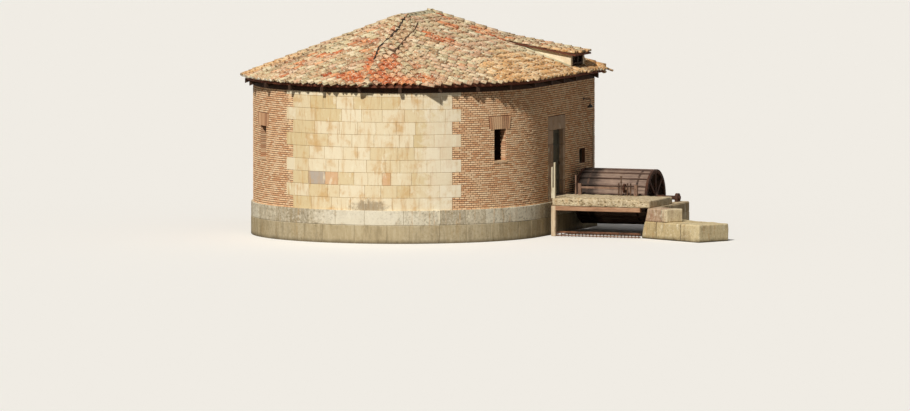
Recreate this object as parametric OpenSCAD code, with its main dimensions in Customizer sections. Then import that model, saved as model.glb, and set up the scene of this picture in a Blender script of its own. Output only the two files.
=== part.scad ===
// River watermill: a horseshoe-plan mill house with a round upstream nose, a tiled roof with one
// low dormer, and a headrace on its right flank with a deck, a trash rack and a boarded water wheel.
// The origin is the centre of the round nose at water level. The nose points along -Y, the door
// flank faces +X, and Z is up. Angles on the nose are counted from -Y, positive towards +X.

/* [House] */
// Outer radius of the round nose and half the width of the house
nose_r = 4200; // [3900:20:4500]
// Thickness of the walls
wall_t = 600; // [450:10:720]
// Length of the straight flanks, from the nose centre to the rear face
flank_l = 4600; // [4400:20:5600]
// Height of the stone plinth above the water
plinth_h = 930; // [850:10:1000]
// How far the plinth stands proud of the wall
plinth_out = 60; // [20:5:90]
// Weathered chamfer on top of the plinth
plinth_bevel = 30; // [10:5:50]
// Top of the masonry above the water
wall_top = 4270; // [4100:10:4700]
// Thickness of the floor on top of the plinth
floor_t = 150; // [100:10:200]

/* [Dressed stone front] */
// Angle where the dressed stone begins on the left of the nose
stone_from = -28.8; // [-35:0.1:-20]
// Angle where the dressed stone ends on the right of the nose
stone_to = 45.3; // [35:0.1:50]
// How far every second course steps back into the brick, as an angle
tooth_a = 3.7; // [2:0.1:5]
// Number of courses of dressed stone
courses = 10; // [8:1:12]

/* [Slit windows] */
// Width of a slit window
slit_w = 440; // [300:10:520]
// Height of a slit window
slit_h = 910; // [700:10:1000]
// Level of the sill of the slit windows
slit_z = 2270; // [2000:10:2400]
// Angle of the slit on the left of the nose
slit_left_a = -47; // [-60:1:-42]
// Angle of the slit on the right of the nose
slit_right_a = 63.5; // [58:0.5:75]
// Place of the slit on the plain left flank, behind the nose centre
slit_flank_y = 2200; // [1500:50:3200]

/* [Door] */
// Near edge of the doorway, behind the nose centre
door_y = 1200; // [1050:10:1300]
// Width of the doorway
door_w = 800; // [700:10:900]
// Height of the doorway above the floor
door_h = 1890; // [1700:10:1950]
// Width of the stone jamb nearest the nose
jamb_near_w = 420; // [200:10:450]
// Width of the stone jamb away from the nose
jamb_far_w = 180; // [120:10:250]
// Height of the stone lintel
lintel_h = 390; // [250:10:420]
// Depth of the leaf behind the outer face of the wall
leaf_set = 100; // [60:5:160]
// Thickness of the leaf
leaf_t = 50; // [40:2:60]
// Gap all round the leaf
leaf_gap = 8; // [6:1:12]
// Radius of the hinge pins
pintle_r = 8; // [6:1:10]

/* [Hatch and lamp] */
// Near edge of the hatch above the wheel
hatch_y = 3340; // [3200:10:3500]
// Width of the hatch
hatch_w = 460; // [300:10:500]
// Height of the hatch
hatch_h = 440; // [300:10:500]
// Level of the hatch sill
hatch_z = 1860; // [1840:10:1960]
// Place of the lamp along the flank
lamp_y = 3680; // [3300:10:3900]
// Level of the lamp arm
lamp_z = 3720; // [3400:10:3800]

/* [Roof] */
// How far the tiled edge hangs out beyond the wall
eave_out = 330; // [250:10:420]
// Rise of the roof from the tiled edge to the ridge
roof_rise = 1680; // [1400:10:2200]
// Depth of the timber plate on the walls
plate_h = 112; // [80:2:160]
// Length of the ridge behind the nose centre
ridge_l = 2400; // [2000:20:2700]
// Depth of boards and tiles together, measured upright
roof_tv = 170; // [140:5:200]
// Width of a rafter
rafter_w = 90; // [70:5:110]
// Depth of a rafter, measured upright
rafter_h = 130; // [100:5:150]
// Angle of the first rafter of the nose
rafter_first = -84; // [-86:1:-80]
// Angle between rafters of the nose
rafter_step = 15; // [12:1:18]
// How far the rafter ends stay back from the tiled edge
rafter_back = 90; // [60:10:150]

/* [Dormer] */
// Near face of the dormer, behind the nose centre
dormer_y = 2850; // [2700:10:2950]
// Width of the dormer
dormer_w = 1100; // [900:10:1200]
// How far the dormer front stands behind the face of the wall
dormer_set = 70; // [20:5:300]
// Distance from the ridge line at which the dormer roof leaves the main slope
dormer_bend = 2030; // [1800:10:2300]
// Fall of the dormer roof, as rise over run
dormer_fall = 0.164; // [0.1:0.002:0.22]
// Thickness of the dormer roof, measured upright
dormer_tv = 120; // [90:5:140]
// Thickness of the plastered cheeks
cheek_t = 120; // [80:10:160]
// How far the dormer roof hangs over its cheeks
verge = 100; // [60:10:200]

/* [Headrace] */
// Clear width of the channel between plinth and side wall
channel_w = 2890; // [2700:10:3200]
// Thickness of the side wall of the channel
side_wall_t = 350; // [320:10:600]
// Front edge of the deck, behind the nose centre
deck_y = 350; // [300:10:450]
// Depth of the deck
deck_d = 1900; // [1800:10:1950]
// Thickness of the deck slab
deck_t = 210; // [160:5:240]
// Size of the square frame post and height of the deck beams
beam_s = 130; // [100:5:160]
// Height of the top bar of the rack above the water
rack_z = 130; // [100:5:200]
// Number of upright bars in the rack
rack_bars = 24; // [18:1:28]
// Turn of the wing wall towards the water
wing_a = 27; // [20:1:35]
// Length of the wing wall
wing_l = 2400; // [2000:50:3000]
// Thickness of the wing wall
wing_t = 1150; // [900:50:1400]
// Height of the wing wall above the water
wing_h = 500; // [450:10:600]
// Length of the stone seat on the wing wall
seat_l = 1060; // [800:10:1200]
// Depth of the stone seat
seat_d = 620; // [500:10:800]
// How far the end of the wing wall leans back from the channel at deck level
wing_lean = 230; // [100:10:280]

/* [Sluice gear] */
// Height of the low rail above the deck
rail_up = 210; // [180:10:260]
// Length of the low rail
rail_l = 1620; // [1400:20:1700]
// Outer radius of the pinion, over its teeth
gear_r = 135; // [110:5:150]
// Number of teeth on the pinion
gear_teeth = 18; // [12:1:24]
// Height of the split slot post above the deck
slot_post_h = 1020; // [800:20:1200]

/* [Water wheel] */
// Radius of the wheel over its rims
wheel_r = 800; // [700:10:840]
// Length of the wheel
wheel_l = 2200; // [1900:10:2300]
// Gap between the wheel and the plinth
wheel_gap = 150; // [120:5:200]
// Gap between the wheel and the edge of the deck
wheel_clear = 150; // [60:5:250]
// Height of the axle above the side wall
axle_up = 110; // [90:5:130]
// Radius of the axle
axle_r = 60; // [45:5:70]
// Width of the rim, seen from the end
rim_w = 110; // [80:5:140]
// Thickness of the rim along the axle
rim_t = 70; // [50:5:90]
// Height of the floats above the boards
float_h = 45; // [30:5:60]
// Number of floats
floats = 20; // [16:2:24]
// Number of arms in each end
arms = 8; // [6:1:10]

/* [Hidden] */
$fn = 256;

// Small seat gap left between a curved face and what it rests on
seat = 0.3;
// Running gap of a journal in its bearing and of a hinge eye on its pin
run_gap = 0.5;
// Length by which a cutter passes the faces that it cuts
over = 50;

course_h = (wall_top - plinth_h) / courses;
floor_z = plinth_h + floor_t;
inner_r = nose_r - wall_t;
plinth_r = nose_r + plinth_out;
eave_r = nose_r + eave_out;
eave_l = flank_l + eave_out;
side_slope = roof_rise / eave_r;
rear_slope = roof_rise / (eave_l - ridge_l);
plate_top = wall_top + plate_h;
eave_z = plate_top + seat + rafter_h + roof_tv - side_slope * eave_out;
ridge_z = eave_z + roof_rise;
dormer_x = nose_r - dormer_set;
brick = [0.62, 0.42, 0.34];
ashlar = [0.85, 0.77, 0.58];
stone = [0.62, 0.60, 0.54];
tile = [0.70, 0.47, 0.36];
timber = [0.36, 0.24, 0.19];
iron = [0.36, 0.25, 0.21];

// Height of the top of the tiles at a distance from the ridge line
function roof_top(r) = ridge_z - side_slope * r;
// Height of the underside of the boards at a distance from the ridge line
function roof_under(r) = roof_top(r) - roof_tv;
// Height of the underside of the boards of the rear slope at a distance behind the nose centre
function roof_under_rear(y) = eave_z + rear_slope * (eave_l - y) - roof_tv;

// Open joint between neighbouring blocks of the nose, as an angle
joint_a = asin(seat / inner_r);

// Block of the nose ring between two angles and two levels
module ring_block(r_in, r_out, z0, z1, from, to)
    rotate([0, 0, from - 90])
        rotate_extrude(angle = to - from)
            translate([r_in, z0]) square([r_out - r_in, z1 - z0]);

// Box given by two opposite corners
module span(a, b)
    translate(a) cube([b[0] - a[0], b[1] - a[1], b[2] - a[2]]);

// Radial cut through the nose wall for a slit window
module nose_slit(a)
    rotate([0, 0, a - 90])
        translate([inner_r - 4 * over, -slit_w / 2, slit_z]) cube([wall_t + 5 * over, slit_w, slit_h]);

// Outline of the plinth against the air, with its weathered top edge
module plinth_profile()
    polygon([[inner_r, 0], [plinth_r, 0], [plinth_r, plinth_h - plinth_bevel],
        [plinth_r - plinth_bevel, plinth_h], [inner_r, plinth_h]]);

module plinth_turn(from, to)
    color(stone) rotate([0, 0, from - 90]) rotate_extrude(angle = to - from) plinth_profile();

// Straight run of the plinth along a flank
module plinth_run()
    color(stone) translate([0, flank_l - wall_t, 0]) rotate([90, 0, 0])
        linear_extrude(flank_l - wall_t) plinth_profile();

module foundation_core()
    color(stone) union() {
        ring_block(0, inner_r - seat, 0, plinth_h, -90, 90);
        span([-inner_r, 0, 0], [inner_r, flank_l - wall_t, plinth_h]);
    }

module plinth_nose_left() plinth_turn(-90, stone_from - joint_a);
module plinth_nose_front() plinth_turn(stone_from, stone_to);
module plinth_nose_right() plinth_turn(stone_to + joint_a, 90);
module plinth_flank_right() plinth_run();
module plinth_flank_left() mirror([1, 0, 0]) plinth_run();

// The rear run closes both flanks, so its profile turns the corner as a straight run
module plinth_rear()
    color(stone) intersection() {
        translate([-plinth_r, flank_l - wall_t - inner_r, 0]) rotate([90, 0, 90])
            linear_extrude(2 * plinth_r) plinth_profile();
        translate([0, flank_l + plinth_out, 0]) rotate([90, 0, 0]) linear_extrude(wall_t + plinth_out)
            polygon([[-plinth_r, 0], [plinth_r, 0], [plinth_r, plinth_h - plinth_bevel],
                [plinth_r - plinth_bevel, plinth_h], [plinth_bevel - plinth_r, plinth_h],
                [-plinth_r, plinth_h - plinth_bevel]]);
    }

module floor()
    color([0.55, 0.52, 0.46]) union() {
        ring_block(0, inner_r - seat, plinth_h, floor_z, -90, 90);
        span([-inner_r, 0, plinth_h], [inner_r, flank_l - wall_t, floor_z]);
    }

// Cutter that removes every second course between two angles, starting with the given course
module tooth_cuts(from, to, first, gap)
    for (i = [first:2:courses - 1])
        ring_block(inner_r - over, nose_r + over, plinth_h + i * course_h - (i == 0 ? over : gap),
            plinth_h + (i + 1) * course_h + (i == courses - 1 ? over : gap), from, to);

// Curved walls stand a seat gap above the plinth
wall_z = plinth_h + seat;

// The dressed stone is toothed into the brick: its even courses step back by one tooth
module wall_stone_front()
    color(ashlar) difference() {
        ring_block(inner_r, nose_r, wall_z, wall_top, stone_from, stone_to);
        tooth_cuts(stone_from - 1, stone_from + tooth_a + joint_a, 0, 0);
        tooth_cuts(stone_to - tooth_a - joint_a, stone_to + 1, 0, 0);
    }

module wall_brick_left()
    color(brick) difference() {
        ring_block(inner_r, nose_r, wall_z, wall_top, -90, stone_from + tooth_a);
        tooth_cuts(stone_from - joint_a, stone_from + tooth_a + 1, 1, seat);
        nose_slit(slit_left_a);
    }

// Upright bay of the nose wall at a slit window, with straight sides
module slit_bay(a, w)
    rotate([0, 0, a - 90]) translate([0, -w / 2, wall_z - over])
        cube([nose_r + over, w, wall_top - wall_z + 2 * over]);

module wall_brick_right()
    color(brick) difference() {
        ring_block(inner_r, nose_r, wall_z, wall_top, stone_to - tooth_a, slit_right_a);
        tooth_cuts(stone_to - tooth_a - 1, stone_to + joint_a, 1, seat);
        slit_bay(slit_right_a, slit_w);
    }

// Masonry under and over the slit on the right, one bay as wide as the slit
module wall_slit_right()
    color(brick) difference() {
        intersection() {
            ring_block(inner_r, nose_r, wall_z, wall_top, slit_right_a - 10, slit_right_a + 10);
            slit_bay(slit_right_a, slit_w - 2 * seat);
        }
        nose_slit(slit_right_a);
    }

module wall_brick_end()
    color(brick) difference() {
        ring_block(inner_r, nose_r, wall_z, wall_top, slit_right_a, 90);
        slit_bay(slit_right_a, slit_w);
    }

frame_y0 = door_y - jamb_near_w;
frame_y1 = door_y + door_w + jamb_far_w;
lintel_z = floor_z + door_h;
module wall_door_near()
    color(brick) span([inner_r, 0, plinth_h], [nose_r, frame_y0, wall_top]);

module wall_over_door()
    color(brick) span([inner_r, frame_y0, lintel_z + lintel_h], [nose_r, frame_y1, wall_top]);

module wall_door_far()
    color(brick) difference() {
        span([inner_r, frame_y1, plinth_h], [nose_r, flank_l, wall_top]);
        translate([inner_r - over, hatch_y, hatch_z]) cube([wall_t + 2 * over, hatch_w, hatch_h]);
    }

module wall_flank_left()
    color(brick) difference() {
        span([-nose_r, 0, plinth_h], [-inner_r, flank_l, wall_top]);
        translate([-nose_r - over, slit_flank_y, slit_z]) cube([wall_t + 2 * over, slit_w, slit_h]);
    }

module wall_rear()
    color(brick) difference() {
        span([-inner_r, flank_l - wall_t, plinth_h], [inner_r, flank_l, wall_top]);
        translate([-slit_w / 2, flank_l - wall_t - over, slit_z]) cube([slit_w, wall_t + 2 * over, slit_h]);
    }

module door_sill()
    color(stone) span([inner_r, frame_y0, plinth_h], [nose_r, frame_y1, floor_z]);
module door_jambs()
    color(stone) {
        span([inner_r, frame_y0, floor_z], [nose_r, door_y, lintel_z]);
        span([inner_r, door_y + door_w, floor_z], [nose_r, frame_y1, lintel_z]);
    }
module door_lintel()
    color(stone) span([inner_r, frame_y0, lintel_z], [nose_r, frame_y1, lintel_z + lintel_h]);

// The leaf is a framed plank door with sunk panels on its outer face
leaf_in = nose_r - leaf_set - leaf_t;
leaf_w = door_w - 2 * leaf_gap;
leaf_h = door_h - 2 * leaf_gap;
stile = 110;
panel_rows = 4;
panel_sink = 16;
panel_h = (leaf_h - stile * (panel_rows + 1)) / panel_rows;
module door_leaf()
    color([0.33, 0.32, 0.27]) difference() {
        translate([leaf_in, door_y + leaf_gap, floor_z + leaf_gap]) cube([leaf_t, leaf_w, leaf_h]);
        for (i = [0:panel_rows - 1])
            translate([leaf_in + leaf_t - panel_sink, door_y + leaf_gap + stile,
                floor_z + leaf_gap + stile + i * (panel_h + stile)])
                cube([panel_sink + over, leaf_w - 2 * stile, panel_h]);
    }

eye_r = 2 * pintle_r;
eye_h = 60;
strap_t = 6;
strap_l = 560;
hinge_x = leaf_in - eye_r - strap_t / 3;
hinge_y = door_y + leaf_gap + 10;
hinge_levels = [floor_z + 260, lintel_z - 320];
module door_straps()
    color(iron) for (z = hinge_levels) {
        difference() {
            union() {
                translate([hinge_x, hinge_y, z]) cylinder(h = eye_h, r = eye_r);
                translate([leaf_in - strap_t, hinge_y, z + 5]) cube([strap_t, strap_l, eye_h - 10]);
            }
            translate([hinge_x, hinge_y, z - over]) cylinder(h = eye_h + 2 * over, r = pintle_r + run_gap);
        }
    }

module door_pintles()
    color(iron) for (z = hinge_levels) {
        translate([hinge_x, hinge_y, z - 30]) cylinder(h = eye_h + 36, r = pintle_r);
        span([hinge_x - pintle_r, door_y, z - 30], [hinge_x + pintle_r, hinge_y, z - run_gap]);
    }

// Timber plate on the outer part of the wall, under the rafter feet
plate_w = 200;
plate_z = wall_top + seat;
rear_plate_top = roof_under_rear(flank_l) - rafter_h - seat;
module wall_plates()
    color(timber) {
        ring_block(nose_r - plate_w, nose_r, plate_z, plate_top, -90, 90);
        span([nose_r - plate_w, 0, plate_z], [nose_r, flank_l, plate_top]);
        span([-nose_r, 0, plate_z], [plate_w - nose_r, flank_l, plate_top]);
        span([plate_w - nose_r, flank_l - plate_w, plate_z], [nose_r - plate_w, flank_l, rear_plate_top]);
    }

nose_rafters = [rafter_first:rafter_step:90];
flank_rafters = concat([for (y = [500:1000:dormer_y - 200]) y],
    [for (y = [dormer_y + dormer_w + 300:1000:flank_l - 300]) y]);
rear_span = 1000 * floor((nose_r - 700) / 1000);
rear_rafters = [for (x = [-rear_span:1000:rear_span]) x];
foot_r = eave_r - rafter_back;
board_t = 30;
board_r = nose_r - 40;
board_z = plate_top + seat;

// Space under the boards, between the side slopes and the rear slope
module under_roof(drop)
    intersection() {
        translate([0, eave_l, 0]) rotate([90, 0, 0]) linear_extrude(eave_l + over)
            polygon([[-eave_r, 0], [eave_r, 0], [eave_r, roof_top(eave_r) - drop], [0, ridge_z - drop],
                [-eave_r, roof_top(eave_r) - drop]]);
        translate([-eave_r, 0, 0]) rotate([90, 0, 90]) linear_extrude(2 * eave_r)
            polygon([[-over, 0], [eave_l, 0], [eave_l, eave_z - drop], [ridge_l, ridge_z - drop],
                [-over, ridge_z - drop + rear_slope * (ridge_l + over)]]);
    }

// One straight rafter from its foot to near the ridge line, lying along +X
rafter_head = 420;
// Clearance over a rafter of the nose, because the boards curve across it
rafter_gap = 1.5;
module rafter(gap)
    translate([0, rafter_w / 2, 0]) rotate([90, 0, 0]) linear_extrude(rafter_w)
        polygon([[rafter_head, roof_under(rafter_head) - rafter_h], [foot_r, roof_under(foot_r) - rafter_h],
            [foot_r, roof_under(foot_r) - gap], [rafter_head, roof_under(rafter_head) - gap]]);

// One rafter of the rear slope, from its foot up to near the ridge
rear_head = ridge_l + rafter_head;
rear_foot = eave_l - rafter_back;
module rear_rafter(x)
    translate([x - rafter_w / 2, 0, 0]) rotate([90, 0, 90]) linear_extrude(rafter_w)
        polygon([[rear_head, roof_under_rear(rear_head) - rafter_h],
            [rear_foot, roof_under_rear(rear_foot) - rafter_h],
            [rear_foot, roof_under_rear(rear_foot)], [rear_head, roof_under_rear(rear_head)]]);

module rafters()
    color(timber) {
        for (a = nose_rafters) rotate([0, 0, a - 90]) rafter(rafter_gap);
        intersection() {
            union() {
                for (y = flank_rafters, side = [0, 1])
                    mirror([side, 0, 0]) translate([0, y, 0]) rafter(seat);
                for (x = rear_rafters) rear_rafter(x);
            }
            under_roof(roof_tv + seat);
        }
    }

// Boards that close the gap between plate and roof, one in each bay between rafters
half_bay = asin((rafter_w / 2 + seat) / board_r);
module nose_board(from, to)
    rotate([0, 0, from - 90]) rotate_extrude(angle = to - from)
        polygon([[board_r, board_z], [board_r + board_t, board_z],
            [board_r + board_t, roof_under(board_r + board_t) - seat],
            [board_r, roof_under(board_r) - seat]]);

module flank_board(y0, y1)
    translate([0, y1, 0]) rotate([90, 0, 0]) linear_extrude(y1 - y0)
        polygon([[board_r, board_z], [board_r + board_t, board_z],
            [board_r + board_t, roof_under(board_r + board_t) - seat],
            [board_r, roof_under(board_r) - seat]]);

// Board of the rear, standing on the rear plate between two rafters
board_y = flank_l - 40;
module rear_board(x0, x1)
    translate([x0, 0, 0]) rotate([90, 0, 90]) linear_extrude(x1 - x0)
        polygon([[board_y, rear_plate_top + seat], [board_y + board_t, rear_plate_top + seat],
            [board_y + board_t, roof_under_rear(board_y + board_t) - seat],
            [board_y, roof_under_rear(board_y) - seat]]);

last_rafter = rafter_first + rafter_step * floor((90 - rafter_first) / rafter_step);
half_rafter = rafter_w / 2 + seat;
flank_posts = concat([-half_rafter], flank_rafters, [flank_l - 70 + half_rafter]);
rear_edge = nose_r - plate_w - half_rafter;
rear_posts = concat([-rear_edge - 2 * half_rafter], rear_rafters, [rear_edge + 2 * half_rafter]);
module eave_boards()
    color([0.45, 0.26, 0.20]) {
        nose_board(-90, rafter_first - half_bay);
        for (a = [rafter_first:rafter_step:last_rafter - 1])
            nose_board(a + half_bay, a + rafter_step - half_bay);
        nose_board(last_rafter + half_bay, 90);
        for (side = [0, 1], i = [0:len(flank_posts) - 2])
            mirror([side, 0, 0]) flank_board(flank_posts[i] + half_rafter, flank_posts[i + 1] - half_rafter);
        intersection() {
            for (i = [0:len(rear_posts) - 2])
                rear_board(rear_posts[i] + half_rafter, rear_posts[i + 1] - half_rafter);
            under_roof(roof_tv + seat);
        }
    }

// Slope of one side, lying over +X between the nose and the hip
module side_slab()
    intersection() {
        translate([0, eave_l, 0]) rotate([90, 0, 0]) linear_extrude(eave_l)
            polygon([[0, roof_under(0)], [eave_r, roof_under(eave_r)], [eave_r, eave_z], [0, ridge_z]]);
        linear_extrude(ridge_z + over) polygon([[0, 0], [eave_r, 0], [eave_r, eave_l], [0, ridge_l]]);
    }

module roof_nose()
    color(tile) rotate([0, 0, 180]) rotate_extrude(angle = 180)
        polygon([[0, roof_under(0)], [eave_r, roof_under(eave_r)], [eave_r, eave_z], [0, ridge_z]]);

light_x0 = dormer_bend + 700;
light_x1 = dormer_x - 250;
module roof_right()
    color(tile) difference() {
        side_slab();
        span([light_x0, light_y0, eave_z - roof_tv], [light_x1, light_y1, ridge_z]);
    }

module roof_left() color(tile) mirror([1, 0, 0]) side_slab();

module roof_rear()
    color(tile) intersection() {
        translate([-eave_r, 0, 0]) rotate([90, 0, 90]) linear_extrude(2 * eave_r)
            polygon([[ridge_l, ridge_z - roof_tv], [eave_l, eave_z - roof_tv], [eave_l, eave_z],
                [ridge_l, ridge_z]]);
        linear_extrude(ridge_z + over) polygon([[-eave_r, eave_l], [eave_r, eave_l], [0, ridge_l]]);
    }

// Top of the dormer roof at a distance from the ridge line
function dormer_top(x) = roof_top(dormer_bend) - dormer_fall * (x - dormer_bend);
dormer_head = dormer_bend - 580;
dormer_foot = dormer_x + 170;
module dormer_roof()
    color(tile) difference() {
        translate([0, dormer_y + dormer_w + verge, 0]) rotate([90, 0, 0])
            linear_extrude(dormer_w + 2 * verge)
                polygon([[dormer_head, dormer_top(dormer_head) - dormer_tv],
                    [dormer_foot, dormer_top(dormer_foot) - dormer_tv],
                    [dormer_foot, dormer_top(dormer_foot)], [dormer_head, dormer_top(dormer_head)]]);
        under_roof(-seat);
    }

// Solid under the dormer roof between two distances from the ridge line and two places along the flank
module under_dormer(x0, x1, y0, y1)
    translate([0, y1, 0]) rotate([90, 0, 0]) linear_extrude(y1 - y0)
        polygon([[x0, eave_z], [x1, eave_z], [x1, dormer_top(x1) - dormer_tv - seat],
            [x0, dormer_top(x0) - dormer_tv - seat]]);

// The far cheek passes over the hip, so it starts higher up and turns round the head of the dormer
cheek_x = dormer_head + 30;
far_y = dormer_y + dormer_w;
module dormer_cheeks()
    color([0.83, 0.76, 0.60]) difference() {
        union() {
            under_dormer(dormer_bend, dormer_x, dormer_y, dormer_y + cheek_t);
            under_dormer(cheek_x, dormer_x, far_y - cheek_t, far_y);
            under_dormer(cheek_x, cheek_x + cheek_t, dormer_y + cheek_t, far_y);
        }
        under_roof(-seat);
    }

// Timber frame of the dormer light: head, sill and one upright
frame_s = 70;
light_y0 = dormer_y + cheek_t;
light_y1 = dormer_y + dormer_w - cheek_t;
light_top = dormer_top(dormer_x) - dormer_tv - seat;
light_sill = roof_top(dormer_x - frame_s);
module dormer_frame()
    color(timber) {
        span([dormer_x - frame_s, light_y0, light_sill], [dormer_x, light_y1, light_sill + 50]);
        span([dormer_x - frame_s, light_y0, light_top - frame_s], [dormer_x, light_y1, light_top]);
        for (y = [light_y0, (light_y0 + light_y1 - frame_s) / 2, light_y1 - frame_s])
            span([dormer_x - frame_s, y, light_sill + 50], [dormer_x, y + frame_s, light_top - frame_s]);
    }

hatch_frame_w = 45;
module hatch_frame()
    color(timber) difference() {
        span([nose_r - 160, hatch_y, hatch_z], [nose_r - 90, hatch_y + hatch_w, hatch_z + hatch_h]);
        span([nose_r - 160 - over, hatch_y + hatch_frame_w, hatch_z + hatch_frame_w],
            [nose_r, hatch_y + hatch_w - hatch_frame_w, hatch_z + hatch_h - hatch_frame_w]);
    }

// Lamp on a short arm: wall rose, arm, drop rod and an open cone for a shade
lamp_arm = 210;
shade_r = 95;
shade_h = 90;
shade_t = 6;
lamp_drop = 150;
module lamp()
    color([0.2, 0.2, 0.19]) {
        translate([nose_r, lamp_y, lamp_z]) rotate([0, 90, 0]) cylinder(h = 12, r = 45);
        translate([nose_r, lamp_y, lamp_z]) rotate([0, 90, 0]) cylinder(h = lamp_arm + 11, r = 11);
        translate([nose_r + lamp_arm, lamp_y, lamp_z - lamp_drop]) cylinder(h = lamp_drop, r = 9);
        translate([nose_r + lamp_arm, lamp_y, lamp_z - lamp_drop - shade_h]) rotate_extrude()
            polygon([[shade_r - shade_t, 0], [shade_r, 0], [22, shade_h], [0, shade_h],
                [0, shade_h - shade_t], [22 - shade_t / 2, shade_h - shade_t]]);
    }

channel_x0 = plinth_r;
channel_x1 = plinth_r + channel_w;
deck_z0 = floor_z - deck_t;
deck_over = 300;
module deck_slab()
    color([0.66, 0.62, 0.52])
        span([channel_x0, deck_y, deck_z0], [channel_x1 + deck_over, deck_y + deck_d, floor_z]);

post_x = channel_x0 + 200;
module deck_frame()
    color([0.74, 0.60, 0.50]) {
        span([post_x, deck_y + 20, 0], [post_x + beam_s, deck_y + 20 + beam_s, deck_z0 - beam_s]);
        span([post_x, deck_y + 20, deck_z0 - beam_s], [channel_x1, deck_y + 20 + beam_s, deck_z0]);
        span([channel_x0, deck_y + deck_d - 20 - beam_s, deck_z0 - beam_s],
            [channel_x1, deck_y + deck_d - 20, deck_z0]);
    }

// Weathered post with a slot for stop boards, on the near corner of the deck
slot_w = 34;
prong_w = 40;
slot_foot = 300;
module slot_post()
    color([0.82, 0.79, 0.70]) difference() {
        span([post_x, deck_y + 20, floor_z],
            [post_x + 2 * prong_w + slot_w, deck_y + 110, floor_z + slot_post_h]);
        span([post_x + prong_w, deck_y, floor_z + slot_foot],
            [post_x + prong_w + slot_w, deck_y + 200, floor_z + slot_post_h + over]);
        span([post_x - over, deck_y, floor_z + slot_post_h - 130],
            [post_x + prong_w, deck_y + 200, floor_z + slot_post_h + over]);
    }

// Rack of flat bars that stands in the water at the mouth of the channel
rack_x0 = post_x + beam_s;
rack_bar = 14;
rack_depth = 45;
module trash_rack()
    color([0.50, 0.30, 0.22]) {
        span([rack_x0, deck_y + 60, rack_z - 36], [channel_x1, deck_y + 60 + rack_depth, rack_z]);
        pitch = (channel_x1 - rack_x0) / rack_bars;
        for (i = [0:rack_bars - 1])
            translate([rack_x0 + (i + 0.5) * pitch - rack_bar / 2, deck_y + 60, 0])
                cube([rack_bar, rack_depth, rack_z - 36]);
    }

// The side wall ends behind the axle, and the wing wall turns out from its near end
axle_y = deck_y + deck_d + wheel_clear + wheel_r;
bearing_bed = 300;
side_wall_end = axle_y + bearing_bed;
wing_y = deck_y + 150;
module wing_box(x0, x1, y0, y1, z0, z1)
    translate([channel_x1, wing_y, 0]) rotate([0, 0, -wing_a]) span([x0, y0, z0], [x1, y1, z1]);

// Everything right of the leaning end of the wing wall
module wing_side(top)
    translate([0, flank_l, 0]) rotate([90, 0, 0]) linear_extrude(2 * flank_l)
        polygon([[channel_x1, 0], [2 * channel_x1, 0], [2 * channel_x1, top],
            [channel_x1 + wing_lean * top / deck_z0, top]]);

module side_wall()
    color(ashlar) difference() {
        span([channel_x1, wing_y, 0], [channel_x1 + side_wall_t, side_wall_end, deck_z0]);
        wing_box(-wing_l, wing_l, -wing_l, wing_t + seat, -over, wing_h);
        wing_box(-wing_l, wing_l, -wing_l, seat_d + seat, wing_h, deck_z0 + over);
    }

module wing_wall()
    color(ashlar) intersection() {
        wing_box(-wing_l, wing_l, 0, wing_t, 0, wing_h);
        wing_side(wing_h);
    }

module wing_seat()
    color(ashlar) intersection() {
        wing_box(-wing_l, seat_l, 0, seat_d, wing_h, deck_z0);
        wing_side(deck_z0);
    }

// Gear that lifted the sluice boards: posts, a low rail, a pinion and its racks
rail_x0 = channel_x0 + 470;
rail_y = deck_y + deck_d - 150;
rail_z = floor_z + rail_up;
rail_s = 55;
post_s = 90;
tall_post = 560;
module sluice_bench()
    color([0.58, 0.42, 0.36]) {
        span([rail_x0, rail_y - rail_s / 2, rail_z - rail_s / 2],
            [rail_x0 + rail_l, rail_y + rail_s / 2, rail_z + rail_s / 2]);
        span([rail_x0 - post_s, rail_y - post_s / 2, floor_z], [rail_x0, rail_y + post_s / 2, rail_z + 110]);
        span([rail_x0 + rail_l, rail_y - post_s / 2, floor_z],
            [rail_x0 + rail_l + post_s, rail_y + post_s / 2, rail_z + 110]);
        translate([rail_x0 - 170, rail_y, floor_z]) cylinder(h = tall_post, r = 22);
    }

// Toothed pinion clamped on the rail
gear_x = rail_x0 + rail_l - 330;
gear_t = 50;
tooth_h = 24;
module sluice_pinion()
    color(iron) translate([gear_x, rail_y, rail_z]) rotate([0, 90, 0]) difference() {
        linear_extrude(gear_t) union() {
            circle(r = gear_r - tooth_h);
            for (i = [0:gear_teeth - 1]) rotate(i * 360 / gear_teeth)
                translate([gear_r - tooth_h - 6, 0])
                    polygon([[0, -11], [tooth_h + 4, -6], [tooth_h + 6, 0], [tooth_h + 4, 6], [0, 11]]);
        }
        for (i = [0:4]) rotate([0, 0, i * 72 + 36]) translate([(gear_r + rail_s) / 2 - 4, 0, -over])
            cylinder(h = gear_t + 2 * over, r = 17);
        translate([-rail_s / 2, -rail_s / 2, -over]) cube([rail_s, rail_s, gear_t + 2 * over]);
    }

// Upright toothed racks and the tall screw rod beside the pinion
rack_rod_h = 360;
screw_h = 570;
rack_notches = 7;
module sluice_racks()
    color(iron) {
        for (dx = [-150, 120, 210]) difference() {
            span([gear_x + dx, rail_y - rail_s / 2 - 40, floor_z],
                [gear_x + dx + 34, rail_y - rail_s / 2, floor_z + rack_rod_h]);
            for (k = [0:rack_notches - 1])
                span([gear_x + dx - over, rail_y - rail_s / 2 - 40 - over, floor_z + 25 + k * 46],
                    [gear_x + dx + 34 + over, rail_y - rail_s / 2 - 28, floor_z + 45 + k * 46]);
        }
        translate([gear_x - 60, rail_y - rail_s / 2 - 16, floor_z]) cylinder(h = screw_h, r = 16);
    }

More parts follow.
